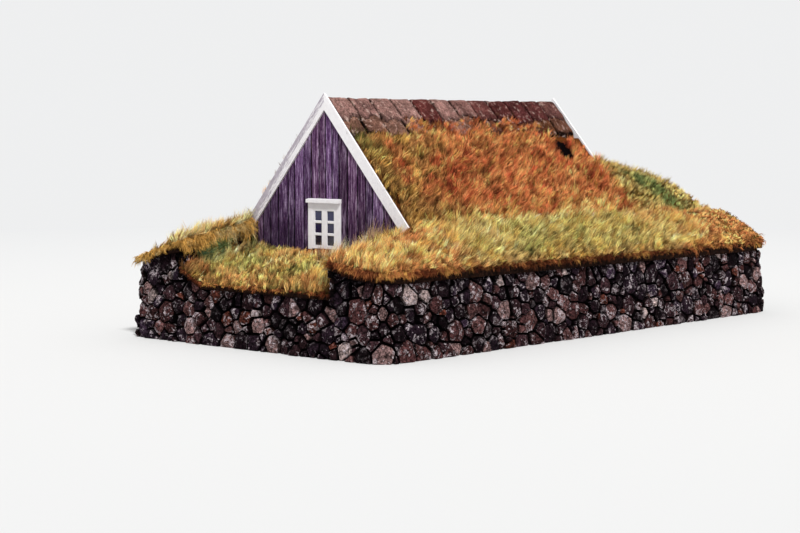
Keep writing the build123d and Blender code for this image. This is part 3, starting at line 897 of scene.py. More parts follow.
def scattered(names, tilt, keep_point, count, rng):
    """Even random points on the nodes' faces whose normals rise between the two tilts, and those normals."""
    corners, normals = faces_of(names)
    chosen = (normals[:, 2] > tilt[0]) & (normals[:, 2] < tilt[1])
    corners, normals = corners[chosen], normals[chosen]
    first, second = corners[:, 1] - corners[:, 0], corners[:, 2] - corners[:, 0]
    areas = np.linalg.norm(np.cross(first, second), axis=1)
    points, ups = np.zeros((0, 3)), np.zeros((0, 3))
    for _ in range(12):
        pick = rng.choice(len(corners), count, p=areas / areas.sum())
        a, b = rng.random(count), rng.random(count)
        over = a + b > 1
        a[over], b[over] = 1 - a[over], 1 - b[over]
        new = corners[pick, 0] + a[:, None] * first[pick] + b[:, None] * second[pick]
        fine = keep_point(new)
        points, ups = np.concatenate([points, new[fine]]), np.concatenate([ups, normals[pick][fine]])
        if len(points) >= count:
            break
    return points[:count], ups[:count]


def grass_piece(name, roots, direction, late, length, width, low, tip, rng, face=None, bent_share=1.0):
    """Straight and bent blades, brown at the root and darkened there by painted shade. Every array has one row
    for a blade.
    """
    count = len(roots)
    turned = rng.normal(size=(count, 3))
    if face is not None:
        turned = face + turned * 0.55
    side = unit(np.cross(direction, turned)) * width[:, None] / 2
    start = roots - direction * root_depth
    middle = start + direction * (length * 0.55)[:, None]
    end = middle + late * (length * 0.5)[:, None]
    jitter = rng.uniform(0.8, 1.22, (count, 1))
    low, tip = low * jitter, tip * jitter
    # Painted shade: the root colour is cut to 0.35 for the shade down among the blades.
    root, waist = low * 0.35, low * 0.35 + tip * 0.65
    bent = rng.random(count) < bent_share
    blades = []
    for own, corners, tones, triples in (
            (bent, (start - side, start + side, middle - 0.8 * side, middle + 0.8 * side, end),
             (root, root, waist, waist, tip), ((0, 1, 2), (1, 3, 2), (2, 3, 4))),
            (~bent, (start - side, start + side, end), (root, root, tip), ((0, 1, 2),))):
        base = np.arange(own.sum())[:, None] * len(corners)
        triangles = np.concatenate([base + triple for triple in triples])
        points, tones = np.stack(corners, 1)[own], np.stack(tones, 1)[own]
        blades.append((points.reshape(-1, 3), triangles, tones.reshape(-1, 3)))
    points, triangles, tones = joined(blades)
    limit = np.array([half_width + grass_reach, -y_front + grass_reach, apex])
    mesh_piece(name, (np.clip(points, -limit, limit), triangles, np.clip(tones, 0, 1)), "blade")


def blades_on(name, count, faces, keep_point, colour_of, length_of, seed, lean, width=0.014, upright=0.75,
              tilt=(0.25, 2.0)):
    """Locks of grass on the nodes' upper faces, with a colour and length that change from place to place."""
    rng = np.random.default_rng(seed)
    middles, ups = scattered(faces, tilt, keep_point, count // blades_in_tuft, rng)
    tufts = len(middles)
    stray = rng.normal(size=(tufts, 3)) * 0.26
    clump = wobble(middles, grass_clump, seed)
    lean_to = np.array(wind) * lean * rng.uniform(0.4, 1.5, (tufts, 1))
    direction = unit(ups * 0.25 + np.array([0, 0, upright]) + lean_to * 0.7 + clump * 0.2 + stray)
    late = unit(direction + lean_to * 0.8 + clump * 0.2 + np.array([0, 0, -0.1]))
    length = length_of(middles) * rng.uniform(0.55, 1.4, tufts)
    length *= 0.75 + 0.5 * noise(middles, grass_clump, seed + 5)
    low, tip = colour_of(middles, rng)
    shade = (0.28 + 1.55 * rng.random((tufts, 1))) * (0.25 + 1.5 * noise(middles, 0.1, seed + 9)[:, None])
    low, tip = low * shade ** 1.2, tip * shade ** 1.2
    which = np.repeat(np.arange(tufts), blades_in_tuft)
    count = len(which)
    apart = rng.normal(size=(count, 3)) * tuft_radius
    ups = ups[which]
    apart -= ups * (apart * ups).sum(1, keepdims=True)
    fan = rng.normal(size=(count, 3)) * 0.09
    direction = unit(direction[which] + fan + apart / tuft_radius * 0.05)
    late = unit(late[which] + fan * 1.3)
    length = length[which] * rng.uniform(0.6, 1.15, count)
    widths = width * rng.uniform(0.6, 1.3, count)
    face = ups * 0.7 + np.array([0, 0, 0.6])
    grass_piece(name, middles[which] + apart, direction, late, length, widths, low[which], tip[which], rng,
                face, 0.45)


def fringe(name, count, faces, edge_of, seed, tip_names, lengths=(0.06, 0.26), drop=0.07, shade_gain=1.0):
    """Grass hanging over the cut edges of the turf in uneven locks, some of it from lower in the edge."""
    rng = np.random.default_rng(seed)

    def by_edge(points):
        return (edge_of(points)[0] < 0.07) & (points[:, 2] > 1.0)
    middles, _ = scattered(faces, (0.25, 2.0), by_edge, count // blades_in_lock, rng)
    locks = len(middles)
    _, outward = edge_of(middles)
    which = np.repeat(np.arange(locks), blades_in_lock)
    count = len(which)
    stray = rng.normal(size=(locks, 3)) * 0.28
    hang = np.clip(noise(middles, 0.13, seed) + 0.7 * noise(middles, 0.6, seed + 3) - 0.35, 0, 1)
    direction = unit(outward * 0.9 + np.array(wind) * 0.2 + stray + np.array([0, 0, 0.2]))
    late = unit(outward * 0.3 + stray + np.array([0, 0, -0.75]))
    length = (lengths[0] + (lengths[1] - lengths[0]) * hang) * rng.uniform(0.6, 1.25, locks)
    shade = noise(middles, 0.3, seed + 1) + rng.uniform(-0.35, 0.35, locks)
    base, first, second = (colours[tone] for tone in tip_names)
    tip = mixed(base, first, 0.8 * smooth_step(0.3, 0.75, shade))
    # Painted shade: shade_gain below 1 darkens the tips, as on the banks' side fringe.
    tip = mixed(tip, second, 0.85 * smooth_step(0.6, 0.95, shade)) * rng.uniform(0.3, 1.2, (locks, 1)) * shade_gain
    # Painted shade: the roots are near black under the hanging locks.
    low = mixed(colours["dark"], base, np.full(locks, 0.15))
    fan = rng.normal(size=(count, 3)) * 0.16
    roots = middles[which] + rng.normal(size=(count, 3)) * np.array([0.015, 0.015, 0.004])
    roots[:, 2] -= (rng.random(locks) ** 2 * drop)[which]
    grass_piece(name, roots, unit(direction[which] + fan), unit(late[which] + fan), length[which],
                0.012 * rng.uniform(0.6, 1.3, count), low[which], tip[which], rng)


def cheek_tufts():
    """Green tufts growing out of the left wing's cheek, above the ledge."""
    rng = np.random.default_rng(117)
    tufts = 190
    along = rng.random(tufts)
    roots = np.stack([np.full(tufts, -ledge_x - 0.01), -5.95 + 0.7 * along, 1.54 + 0.3 * along], 1)
    roots[:, 2] += rng.normal(size=tufts) * 0.08
    direction = unit(np.array([0.35, 0.1, 0.8]) + rng.normal(size=(tufts, 3)) * 0.3)
    late = unit(direction + np.array([0.2, 0.1, -0.3]))
    length = rng.uniform(0.14, 0.3, tufts)
    low, tip = cheek_colour(roots, rng)
    shade = rng.uniform(0.5, 1.7, (tufts, 1))
    which = np.repeat(np.arange(tufts), blades_in_cheek_tuft)
    fan = rng.normal(size=(len(which), 3)) * 0.16
    start = roots[which] + rng.normal(size=(len(which), 3)) * [0.004, 0.02, 0.02]
    grass_piece("cheek_tufts", start, unit(direction[which] + fan), unit(late[which] + fan), length[which],
                0.013 * rng.uniform(0.6, 1.3, len(which)), low[which], (tip * shade)[which], rng)


# Colours of the grass, each as the tones of the roots and of the tips

colours = {name: from_srgb(value) for name, value in {
    "gold": (240, 184, 96), "straw": (248, 216, 144), "pale": (248, 226, 164), "orange": (244, 150, 92),
    "rust": (202, 94, 62), "red_brown": (104, 50, 28), "brown": (112, 74, 38), "olive": (170, 158, 88),
    "green": (134, 152, 84), "deep_green": (92, 134, 80), "blue_green": (92, 128, 96),
    "pink": (232, 186, 158), "dark": (52, 30, 18)}.items()}


def layered(tip, *layers):
    """A colour with others laid over it, each given as (name, share)."""
    for name, share in layers:
        tip = mixed(tip, colours[name], share)
    return tip


def patches(points, size, fine_size, seed):
    """Coarse and fine noise from -0.5 to 0.5."""
    return noise(points, size, seed) - 0.5, noise(points, fine_size, seed + 5) - 0.5


def dry_tip(share):
    return mixed(colours["gold"], colours["straw"], np.clip(share, 0, 1))


def plain_low(points):
    return np.repeat(colours["brown"][None], len(points), 0)


def green_low(share):
    return mixed(colours["brown"], colours["olive"] * 0.5, share)


def roof_share(points):
    """How far back and how far up the roof a point is, each from 0 to 1."""
    back = (points[:, 1] - gable_front) / (gable_rear - gable_front)
    return back, (points[:, 2] - roof_foot) / (turf_ridge - roof_foot)


def roof_colour(points, rng):
    back, up = roof_share(points)
    patch, fine = patches(points, 0.75, 0.17, 3)
    chance = rng.random(len(points))
    orange = smooth_step(0.08, 0.34, back + 0.35 * patch + 0.15 * fine)
    foot = 1 - smooth_step(0.08, 0.3, up + 0.25 * patch)
    tip = layered(
        dry_tip(0.3 + 1.2 * fine),
        ("orange", np.clip(0.4 + 1.4 * fine, 0, 1) * 0.7),
        ("olive", 0.75 * (np.clip(0.2 + 2.0 * patch + 1.2 * fine, 0, 1) * (1 - orange))),
        ("brown", (1 - orange) * (chance < 0.4) * 0.7),
        ("orange", orange * (1 - 0.5 * foot)),
        ("rust", orange * (1 - 0.85 * foot) * np.clip(0.4 + 1.6 * fine + 0.8 * patch, 0, 1)),
        ("gold", 0.7 * orange * (chance > 0.86)))
    mossy = smooth_step(0.17, 0.05, back + 0.1 * patch) * smooth_step(0.55, 0.75, up + 0.2 * patch)
    tip = mixed(tip, colours["green"] * 0.8, 0.75 * mossy * (chance < 0.8))
    low = mixed(colours["brown"], colours["red_brown"], np.maximum(orange * (1 - 0.4 * foot), 0.5))
    return low, tip * (1 + 0.55 * orange * foot - 0.14 * (1 - orange))[:, None]


def bank_colour(points, rng):
    across = np.clip((np.abs(points[:, 0]) - eave_x) / (turf_x - eave_x), 0, 1)
    back = (points[:, 1] - y_front) / (y_rear - y_front)
    patch, fine = patches(points, 0.9, 0.2, 13)
    chance = rng.random(len(points))
    far = smooth_step(0.62, 0.8, back + 0.2 * patch)
    near = 1 - smooth_step(0.14, 0.3, back + 0.1 * patch)
    middle = smooth_step(0.2, 0.34, back + 0.12 * patch) * (1 - smooth_step(0.6, 0.76, back + 0.2 * patch))
    band = smooth_step(-0.1, 0.3, across + 0.3 * patch) * (1 - smooth_step(0.82, 1.0, across))
    olive = middle * band * np.clip(0.75 + 0.9 * fine, 0, 1)
    spots = rng.random(len(points)) < 0.12 + 0.5 * smooth_step(0.0, 0.3, patch + 0.5 * fine)
    by_wing = smooth_step(-1.8, -4.4, points[:, 1] + 0.8 * patch) * (points[:, 0] < 0)
    tip = layered(
        dry_tip(0.3 + 1.5 * fine + (chance > 0.7) * 0.5),
        ("orange", np.clip(far * (0.7 + fine), 0, 1)),
        ("orange", np.clip(near * (0.6 + 1.3 * fine), 0, 1)),
        ("olive", 0.6 * olive),
        ("green", 0.6 * middle * band * spots),
        ("pale", 0.6 * by_wing),
        ("brown", 0.55 * smooth_step(0.84, 1.0, across + 0.25 * fine)))
    return green_low(olive), tip * (1.16 + 0.26 * near)[:, None]


def ledge_colour(points, rng):
    forward = np.clip((gable_front - points[:, 1]) / (gable_front - y_front), 0, 1)
    across = points[:, 0] / ledge_x
    patch, fine = patches(points, 0.5, 0.16, 33)
    chance = rng.random(len(points))
    spots = rng.random(len(points)) < np.clip(0.15 + 1.6 * patch - 0.3 * across, 0, 0.6)
    cheek = smooth_step(0.78, 0.95, -across + 0.15 * fine)
    front = smooth_step(0.6, 0.92, forward + 0.2 * patch)
    under_window = smooth_step(0.3, 0.05, forward) * smooth_step(0.8, 0.2, np.abs(across - 0.1))
    right = smooth_step(0.35, 0.6, across) * (1 - front)
    tip = layered(
        dry_tip(0.35 + 1.2 * fine + (chance > 0.7) * 0.4),
        ("orange", np.clip(0.25 + 1.4 * fine - patch, 0, 1) * 0.6),
        ("olive", np.clip(0.25 + 1.6 * patch + fine, 0, 1) * 0.7),
        ("green", 0.7 * spots),
        ("blue_green", 0.7 * cheek * (chance < 0.6)),
        ("orange", front * np.clip(0.45 + fine, 0, 1)),
        ("brown", 0.75 * smooth_step(0.8, 1.0, forward + 0.2 * fine) * (chance < 0.7)),
        ("rust", 0.6 * under_window),
        ("gold", 0.75 * right))
    return green_low(np.clip(0.5 + patch, 0, 1)), tip * 1.1


def wing_colour(points, rng):
    fine = noise(points, 0.2, 43) - 0.5
    chance = rng.random(len(points))
    tip = mixed(colours["gold"], colours["pale"], np.clip(0.35 + 1.5 * fine + (chance > 0.6) * 0.3, 0, 1))
    edge = smooth_step(turf_x - 0.25, turf_x, np.abs(points[:, 0]))
    tip = layered(tip, ("olive", (chance < 0.2) * 0.5), ("orange", 0.2 + 0.3 * edge))
    return plain_low(points), tip * 1.15


def mound_colour(points, rng):
    patch, fine = patches(points, 0.8, 0.2, 53)
    chance = rng.random(len(points))
    beyond = (points[:, 1] - gable_rear) / (y_rear - gable_rear)
    side = np.abs(points[:, 0])
    green = smooth_step(0.7, 1.1, side) * (1 - smooth_step(2.0, 2.4, side))
    green = green * smooth_step(0.22, 0.36, beyond) * (1 - smooth_step(0.6, 0.8, beyond))
    tip = layered(
        dry_tip(0.4 + fine + (chance > 0.75) * 0.3),
        ("olive", np.clip(0.4 + 1.5 * patch, 0, 1) * 0.6),
        ("deep_green", 0.85 * green * np.clip(0.8 + patch + fine, 0, 1)))
    return green_low(green), tip


def outer_colour(points, rng):
    """The rear mound's colour in the middle and the banks' colour at its sides."""
    mound, bank = mound_colour(points, rng), bank_colour(points, rng)
    ragged = np.abs(points[:, 0]) + 0.4 * (noise(points, 0.4, 63) - 0.5)
    side = smooth_step(eave_x - 0.35, eave_x + 0.1, ragged)
    return mixed(mound[0], bank[0], side), mixed(mound[1], bank[1], side)


def cheek_colour(points, rng):
    chance = rng.random(len(points))
    tip = mixed(colours["blue_green"], colours["green"], noise(points, 0.2, 48))
    low = np.repeat(colours["olive"][None] * 0.3, len(points), 0)
    return low, layered(tip, ("olive", (chance < 0.3) * 0.8))


def strand_colour(points, rng):
    return plain_low(points), mixed(colours["pink"], colours["straw"], rng.random(len(points)))


# Places and lengths of the grass

def plan_edge(points):
    """Distance in from the turf's outline in plan, and the way straight out of it."""
    right_front = (points[:, 0] > 0) & (points[:, 1] < 0)
    inset = half_width - turf_x
    radius = np.where(right_front, round_corner - inset, tight_corner - inset)[:, None]
    past = np.abs(points[:, :2]) - (np.array([turf_x, turf_y]) - radius)
    corner = np.maximum(past, 0)
    in_corner = (past > 0).all(1)
    side_way = np.where(past[:, :1] > past[:, 1:], [[1.0, 0.0]], [[0.0, 1.0]])
    way = np.where(in_corner[:, None], unit(corner), side_way) * np.sign(points[:, :2])
    reach = np.where(in_corner, np.linalg.norm(corner, axis=1), past.max(1))
    return radius[:, 0] - reach, np.concatenate([way, np.zeros((len(points), 1))], 1)


def cheek_edge(points):
    """The same, from the wings' cheeks beside the ledge."""
    way = np.zeros((len(points), 3))
    way[:, 0] = -np.sign(points[:, 0])
    at_ledge = points[:, 1] <= gable_front - 0.05
    return np.where(at_ledge, np.abs(points[:, 0]) - ledge_x, np.inf), way


def slab_edge(points):
    """How far down the slope a point is past the lower edge of the ridge slabs there."""
    slab_pitch = (gable_rear - gable_front) / slab_count
    k = np.clip(((points[:, 1] - gable_front) / slab_pitch).astype(int), 0, slab_count - 1)
    reach = slab_length * np.array(slab_length_shares)[k % len(slab_length_shares)]
    return np.abs(points[:, 0]) / cos(pitch) - reach


def clear_of_hollows(points):
    clear = np.ones(len(points), bool)
    for x, y, radius in hollows:
        down, along = points[:, 0] - x - 0.3 * radius, points[:, 1] - y + 0.45 * radius
        clear &= np.hypot(down, along / 1.7) > radius * 0.95
    return clear


def on_roof(points):
    back, _ = roof_share(points)
    ragged = 0.04 + 0.3 * noise(points, 0.5, 71) + 0.14 * noise(points, 0.15, 72)
    ragged = ragged + 0.5 * smooth_step(0.84, 0.9, back + 0.08 * noise(points, 0.3, 73))
    ragged = ragged + 0.1 * smooth_step(0.22, 0.12, back)
    return (slab_edge(points) > ragged) & clear_of_hollows(points)


def roof_length(points):
    back, up = roof_share(points)
    near_board = smooth_step(0.93, 0.99, back)
    bare = near_board * smooth_step(0.5, 0.62, up)
    return (0.16 + 0.05 * (1 - up)) * (1 - 0.8 * bare) + 0.09 * near_board * smooth_step(0.58, 0.48, up)


def on_course(points):
    back, _ = roof_share(points)
    bare = 0.5 * smooth_step(0.34, 0.14, back) + smooth_step(0.82, 0.9, back)
    return (slab_edge(points) > 0.05) & (noise(points, 0.35, 75) + 0.6 * slab_edge(points) > 0.45 + bare)


def open_bank(points):
    """Points of the banks that the roof doesn't cover."""
    inside = (points[:, 1] > gable_front + 0.02) & (points[:, 1] < gable_rear - 0.02)
    under_roof = (np.abs(points[:, 0]) < eave_x - 0.005) & inside
    return ~under_roof & (points[:, 2] > 1.0)


def beside_roof(points):
    ragged = eave_x + 0.5 * (noise(points, 0.4, 77) - 0.5)
    return open_bank(points) & ((points[:, 1] < gable_rear) | (np.abs(points[:, 0]) > ragged))


def on_right(points):
    return beside_roof(points) & (points[:, 0] > 0)


def on_left(points):
    return beside_roof(points) & (points[:, 0] < 0)


def behind_roof(points):
    return open_bank(points) & ~beside_roof(points)


def bank_length(points):
    outer = smooth_step(turf_x - 0.35, turf_x, np.abs(points[:, 0]))
    far = smooth_step(3.6, 5.4, points[:, 1])
    by_gable = smooth_step(gable_front - 1.0, gable_front - 0.4, points[:, 1])
    by_gable = by_gable * smooth_step(gable_front + 0.3, gable_front, points[:, 1])
    return 0.23 - 0.08 * outer * (1 - far) - 0.16 * far - 0.05 * by_gable


def beside_window(points):
    before_gable = (points[:, 1] > gable_front - 0.8) & (points[:, 1] < gable_front - 0.05)
    return before_gable & (points[:, 0] > 0.5) & (points[:, 0] < 1.75) & (noise(points, 0.22, 79) > 0.4)


def strand_length(points):
    return 0.31 + 0.1 * smooth_step(0.6, 1.2, points[:, 0])


def wing_length(points):
    return 0.27 - 0.18 * smooth_step(turf_x - 1.0, turf_x - 0.25, np.abs(points[:, 0]))


def on_ledge(points):
    return points[:, 1] < boards_front[0].y - 0.02


def ledge_length(points):
    left = smooth_step(-ledge_x + 0.6, -ledge_x + 0.1, points[:, 0])
    return 0.13 + 0.12 * smooth_step(0.7, 1.3, points[:, 0]) + 0.08 * left


def mound_length(points):
    return 0.13 + 0.07 * smooth_step(1.0, 0.3, np.abs(points[:, 0]))


def grow_grass():
    mound = ["rear_left_turf_bank", "rear_right_turf_bank", "rear_turf_crown"]
    right_banks = ["right_turf_bank", "front_right_turf_wing", "rear_right_turf_bank"]
    blades_on("right_roof_grass", 80000, ["right_roof_turf"], on_roof, roof_colour, roof_length, 101, 0.22)
    blades_on("left_roof_grass", 28000, ["left_roof_turf"], on_roof, roof_colour, roof_length, 102, 0.22)
    blades_on("second_course_grass", 12000, ["second_turf_course"], on_course, roof_colour,
              lambda points: 0.14, 103, 0.22, tilt=(0.5, 0.8))
    blades_on("right_bank_grass", 92000, right_banks, on_right, bank_colour, bank_length, 104, 0.42)
    blades_on("left_bank_grass", 30000, ["left_turf_bank", "rear_left_turf_bank"], on_left, bank_colour,
              bank_length, 105, 0.42)
    blades_on("gable_strands", 2400, ["front_turf_ledge", "front_right_turf_wing"], beside_window,
              strand_colour, strand_length, 114, 0.35, 0.01, 1.1)
    blades_on("left_wing_grass", 18000, ["front_left_turf_wing"], on_left, wing_colour, wing_length,
              106, 0.45)
    blades_on("ledge_grass", 34000, ["front_turf_ledge"], on_ledge, ledge_colour, ledge_length, 107, 0.28)
    blades_on("rear_mound_grass", 34000, mound, behind_roof, outer_colour, mound_length, 108, 0.42)
    gold, pale = ("red_brown", "orange", "gold"), ("gold", "gold", "pale")
    banks, wings = ["right_turf_bank", "left_turf_bank"], ["front_right_turf_wing", "front_left_turf_wing"]
    # The side fringe is darkened to 0.62 as painted shade under the banks' edges.
    fringe("side_fringe", 18000, banks, plan_edge, 109, gold, (0.05, 0.19), shade_gain=0.62)
    fringe("front_fringe", 4200, wings[:1], plan_edge, 110, gold)
    fringe("left_wing_fringe", 3600, wings[1:], plan_edge, 118, pale)
    fringe("ledge_fringe", 6600, ["front_turf_ledge"], plan_edge, 113, gold, (0.04, 0.16), 0.04)
    fringe("cheek_fringe", 12000, wings, cheek_edge, 112, pale, (0.16, 0.34), 0.2, 1.1)
    fringe("rear_fringe", 7200, mound, plan_edge, 111, gold)


def dig_hollows():
    """Small hollows in the roof's grass, as near-black discs of painted shade."""
    rng = np.random.default_rng(91)
    edge = np.arange(hollow_corners)
    turn = 2 * pi * edge / hollow_corners
    triangles = np.stack([0 * edge, edge + 1, np.roll(edge + 1, -1)], 1)
    parts = []
    for x, y, radius in hollows:
        reach = radius * rng.uniform(0.7, 1.2, hollow_corners)
        rim = np.stack([x + 0.8 * reach * np.cos(turn), y + 1.4 * reach * np.sin(turn)], 1)
        plan = np.concatenate([[[x, y]], rim])
        height = turf_ridge - slope * plan[:, 0] + grass_rise + 0.012
        parts.append((np.concatenate([plan, height[:, None]], 1), triangles))
    # Painted shade: near-black discs lie in the grass's gaps.
    mesh_piece("roof_hollow_shade", joined(parts), "core")


# Ridge turf

slab_tones = [from_srgb(colour) for colour in (
    (168, 126, 117), (158, 116, 108), (166, 124, 115), (168, 126, 117), (112, 58, 54), (162, 120, 112),
    (144, 102, 95), (110, 64, 60), (98, 49, 47), (96, 49, 48), (98, 52, 50), (118, 76, 71))]


def ragged_grid(across, along, seed):
    """A grid over two spans, torn along its sides and ends, with close rows near its ends."""
    rows, columns = slab_grid
    even = np.linspace(0, 1, rows - 2)
    y = along[0] + (along[1] - along[0]) * np.concatenate([[0.0, 0.035], even[1:-1], [0.965, 1.0]])
    sides = []
    for side, place, side_seed in ((across[0], 9, 62), (across[1], 0, 61)):
        torn = noise(np.stack([y, 0 * y + place, 0 * y + seed], 1), torn_edge, side_seed) - 0.5
        sides.append((side + torn * torn_edge)[:, None])
    share = np.linspace(0, 1, columns)
    x = sides[0] * (1 - share) + sides[1] * share
    pull = np.abs((noise(np.stack([x, 0 * x, 0 * x + seed], -1), 0.12, 63) - 0.5) * 0.03) + 0.006
    y = np.repeat(y[:, None], columns, 1)
    y[:2] += pull[:2]
    y[-2:] -= pull[-2:]
    return x, y


def turf_slab(across, along, thickness, seed, tone):
    """A sod over the ridge or on one slope, rough on top, its thin edges and underside darkened as painted
    shade in the seams, and sunk at the crown.
    """
    x, y = ragged_grid(across, along, seed)
    z = turf_ridge - slope * (np.sqrt(x ** 2 + slab_crown ** 2) - slab_crown)
    at = np.stack([x, y, z], -1)
    thick = thickness / cos(pitch) * (0.8 + 0.36 * noise(at, 0.3, seed))
    at_crown = np.exp(-(x / 0.09) ** 2)
    rim = np.ones(x.shape)
    rim[[1, -2]], rim[:, [1, -2]] = 0.93, 0.93
    rim[[0, -1]], rim[:, [0, -1]] = 0.45, 0.5
    # Painted shade: the rim rows darken the top towards the seams between slabs.
    shade = 0.08 + 0.92 * ((rim - 0.45) / 0.55) ** 2
    rim = rim + (1 - rim) * 0.6 * at_crown
    rough = (noise(at, 0.05, seed + 1) - 0.5) * 0.024 + (noise(at, 0.025, seed + 3) - 0.5) * 0.014
    sunk = 0.03 * np.exp(-(x / 0.14) ** 2)
    top = np.stack([x, y, z + (thick * rim - sunk + rough * (1 - 0.6 * at_crown))], -1)
    bottom = np.stack([x, y, turf_ridge - slope * np.abs(x) - 0.012], -1)
    points, triangles = slab_shape(top, bottom)
    spread, grain = noise(points, 0.2, seed + 2)[:, None], noise(points, 0.05, seed + 4)[:, None]
    tones = tone * (0.55 + 0.9 * spread) * (0.7 + 0.6 * grain)
    half = len(tones) // 2
    tones[:half] *= shade.reshape(-1, 1)
    # Painted shade: the underside is near black.
    tones[half:] *= 0.08
    return points, triangles, tones


def lay_ridge():
    """The slabs over the ridge, and on both slopes the course that shows below them."""
    rng = np.random.default_rng(31)
    slabs, course = [], []
    start = boards_front[0].y
    spacing = (gable_rear - gable_front - 2 * (start - gable_front)) / slab_count
    for k, tone in enumerate(slab_tones):
        y, width = start + k * spacing, spacing - slab_gap
        reach = slab_length * slab_length_shares[k % len(slab_length_shares)]
        run = reach * cos(pitch) + slab_thickness * 0.5
        slabs.append(turf_slab((-run, run), (y, y + width), slab_thickness, 200 + k, tone))
        low, high = (reach - slab_overlap) * cos(pitch), (reach + course_length) * cos(pitch)
        tone = mixed(tone, colours["brown"], rng.uniform(0.2, 0.6))
        shift = rng.uniform(-0.05, 0.05)
        span = (max(y + shift, start), min(y + width + shift, gable_rear - 0.04))
        course.append(turf_slab((low, high), span, course_thickness, 300 + k, tone))
        course.append(turf_slab((-high, -low), span, course_thickness, 400 + k, tone))
    mesh_piece("ridge_slabs", joined(slabs), "ridge", ["ridge_turf_slabs"])
    mesh_piece("second_course", joined(course), "ridge", ["second_turf_course"])


# Boards, window and door

def prism(outline, y_from, y_to, tone):
    """A board with an (x, z) outline, anticlockwise from the front, its front edges eased, and its sides
    darkened as painted shade in the gaps.
    """
    outline = np.asarray(outline, float)
    ease = 0.006
    eased = outline + np.sign(outline.mean(0) - outline) * ease
    count = len(outline)
    rings = ((eased, y_from), (outline, y_from + ease), (outline, y_to))
    points = np.concatenate([np.stack([ring[:, 0], np.full(count, y), ring[:, 1]], 1) for ring, y in rings])
    fan = np.array([(0, k, k + 1) for k in range(1, count - 1)])
    triangles = [fan]
    for ring in (np.arange(count), np.arange(count) + count):
        triangles += side_triangles(ring, np.roll(ring, -1), count)
    triangles.append(2 * count + fan[:, [0, 2, 1]])
    tones = np.tile(tone, (len(points), 1))
    # Painted shade: the eased edges, sides and back fall to 0.12 of the face's tone, for the shade in the gaps.
    tones[count:] *= 0.12
    return points, np.concatenate(triangles), tones


def plank_edges(low, high, must, rng):
    """Plank joints between two ends, with some of them at given places."""
    edges = [low]
    for target in (*sorted(must), high):
        start, span = edges[-1], target - edges[-1]
        count = max(1, round(span / plank_width))
        play = np.append(rng.uniform(-0.18, 0.18, count - 1), 0)
        edges += list(start + span * (np.arange(1, count + 1) + play) / count)
    return edges


def gable_planks(box, hole, seed):
    """Upright planks in the gable's triangle, near-black strips behind their gaps as painted shade, and a hole
    for the window.
    """
    rng = np.random.default_rng(seed)
    low, high = box
    parts = []

    def upright(a, b, y_from, tone):
        spans = [(low.z, None)]
        if hole and a > hole[0] - 0.05 and b < hole[1] + 0.05:
            spans = [(low.z, hole[2]), (hole[3], None)]
        for foot, top in spans:
            top_a, top_b = (high.z - slope * abs(x) if top is None else top for x in (a, b))
            parts.append(prism([(a, foot), (b, foot), (b, top_b), (a, top_a)], y_from, high.y, tone))
    must = [0.0] + ([hole[0] - 0.045, hole[1] + 0.045] if hole else [])
    edges = plank_edges(low.x, high.x, must, rng)
    for a, b in zip(edges, edges[1:]):
        tone = np.full(3, rng.uniform(0.5, 1.4))
        if rng.random() > 0.6:
            tone = tone * [1.07, 1.0, 0.93]
        depth = max(rng.uniform(-plank_depth_play, plank_depth_play), -0.003)
        upright(a + plank_gap, b - plank_gap, low.y + depth, tone)
    # Painted shade: near-black strips behind the gaps.
    behind = low.y * 0.35 + high.y * 0.65
    for edge in edges[1:-1]:
        if not hole or abs(edge - hole[0]) > 0.06 and abs(edge - hole[1]) > 0.06:
            upright(edge - backing_width, edge + backing_width, behind, np.full(3, gap_shade_tone))
    return joined(parts)


def board_gables():
    hole = (opening_low.x, opening_high.x, opening_low.z - 0.02, opening_high.z + 0.02)
    front = gable_planks(boards_front, hole, 51)
    mesh_piece("front_planks", front, "boards", ["front_gable_boards"])
    rear = about_face(gable_planks(boards_rear, None, 52), boards_rear)
    mesh_piece("rear_planks", rear, "boards", ["rear_gable_boards"])


def bar(name, low, high):
    """A glazing bar with its front edges eased."""
    ease = 0.005
    outline = [(low[1], low[2] + ease), (low[1] + ease, low[2]), (high[1], low[2]), (high[1], high[2]),
               (low[1] + ease, high[2]), (low[1], high[2] - ease)]
    count = len(outline)
    faces = [tuple(range(count)), tuple(range(2 * count - 1, count - 1, -1))]
    faces += [(k, k + count, (k + 1) % count + count, (k + 1) % count) for k in range(count)]
    mesh = bpy.data.meshes.new(name)
    mesh.from_pydata([(x, y, z) for x in (low[0], high[0]) for y, z in outline], [], faces)
    mesh.update()
    show(name, mesh, "paint")


def dress_window():
    """Two glazing bars in each of the window's lights."""
    front = (glass_low.y + glass_high.y) / 2 - glazing_bar_depth / 2
    rear = (glass_low.y + glass_high.y) / 2 + glazing_bar_depth / 2
    pane = (glass_high.z - glass_low.z - 2 * glazing_bar_height) / 3
    for side, start in (("left", glass_low.x), ("right", glass_high.x - light_width)):
        for number in (1, 2):
            foot = glass_low.z + number * pane + (number - 1) * glazing_bar_height
            bar(f"window_{side}_bar_{number}", (start - 0.001, front, foot),
                (start + light_width + 0.001, rear, foot + glazing_bar_height))


def board_door():
    low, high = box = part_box("door_leaf")
    rng = np.random.default_rng(77)
    edges = np.linspace(low.x, high.x, 6)
    parts = []
    for a, b in zip(edges + 0.003, edges[1:] - 0.003):
        outline = [(a, low.z + 0.004), (b, low.z + 0.004), (b, high.z), (a, high.z)]
        parts.append(prism(outline, low.y, high.y, np.full(3, rng.uniform(0.8, 1.5))))
    mesh_piece("door_planks", about_face(joined(parts), box), "boards", ["door_leaf"])


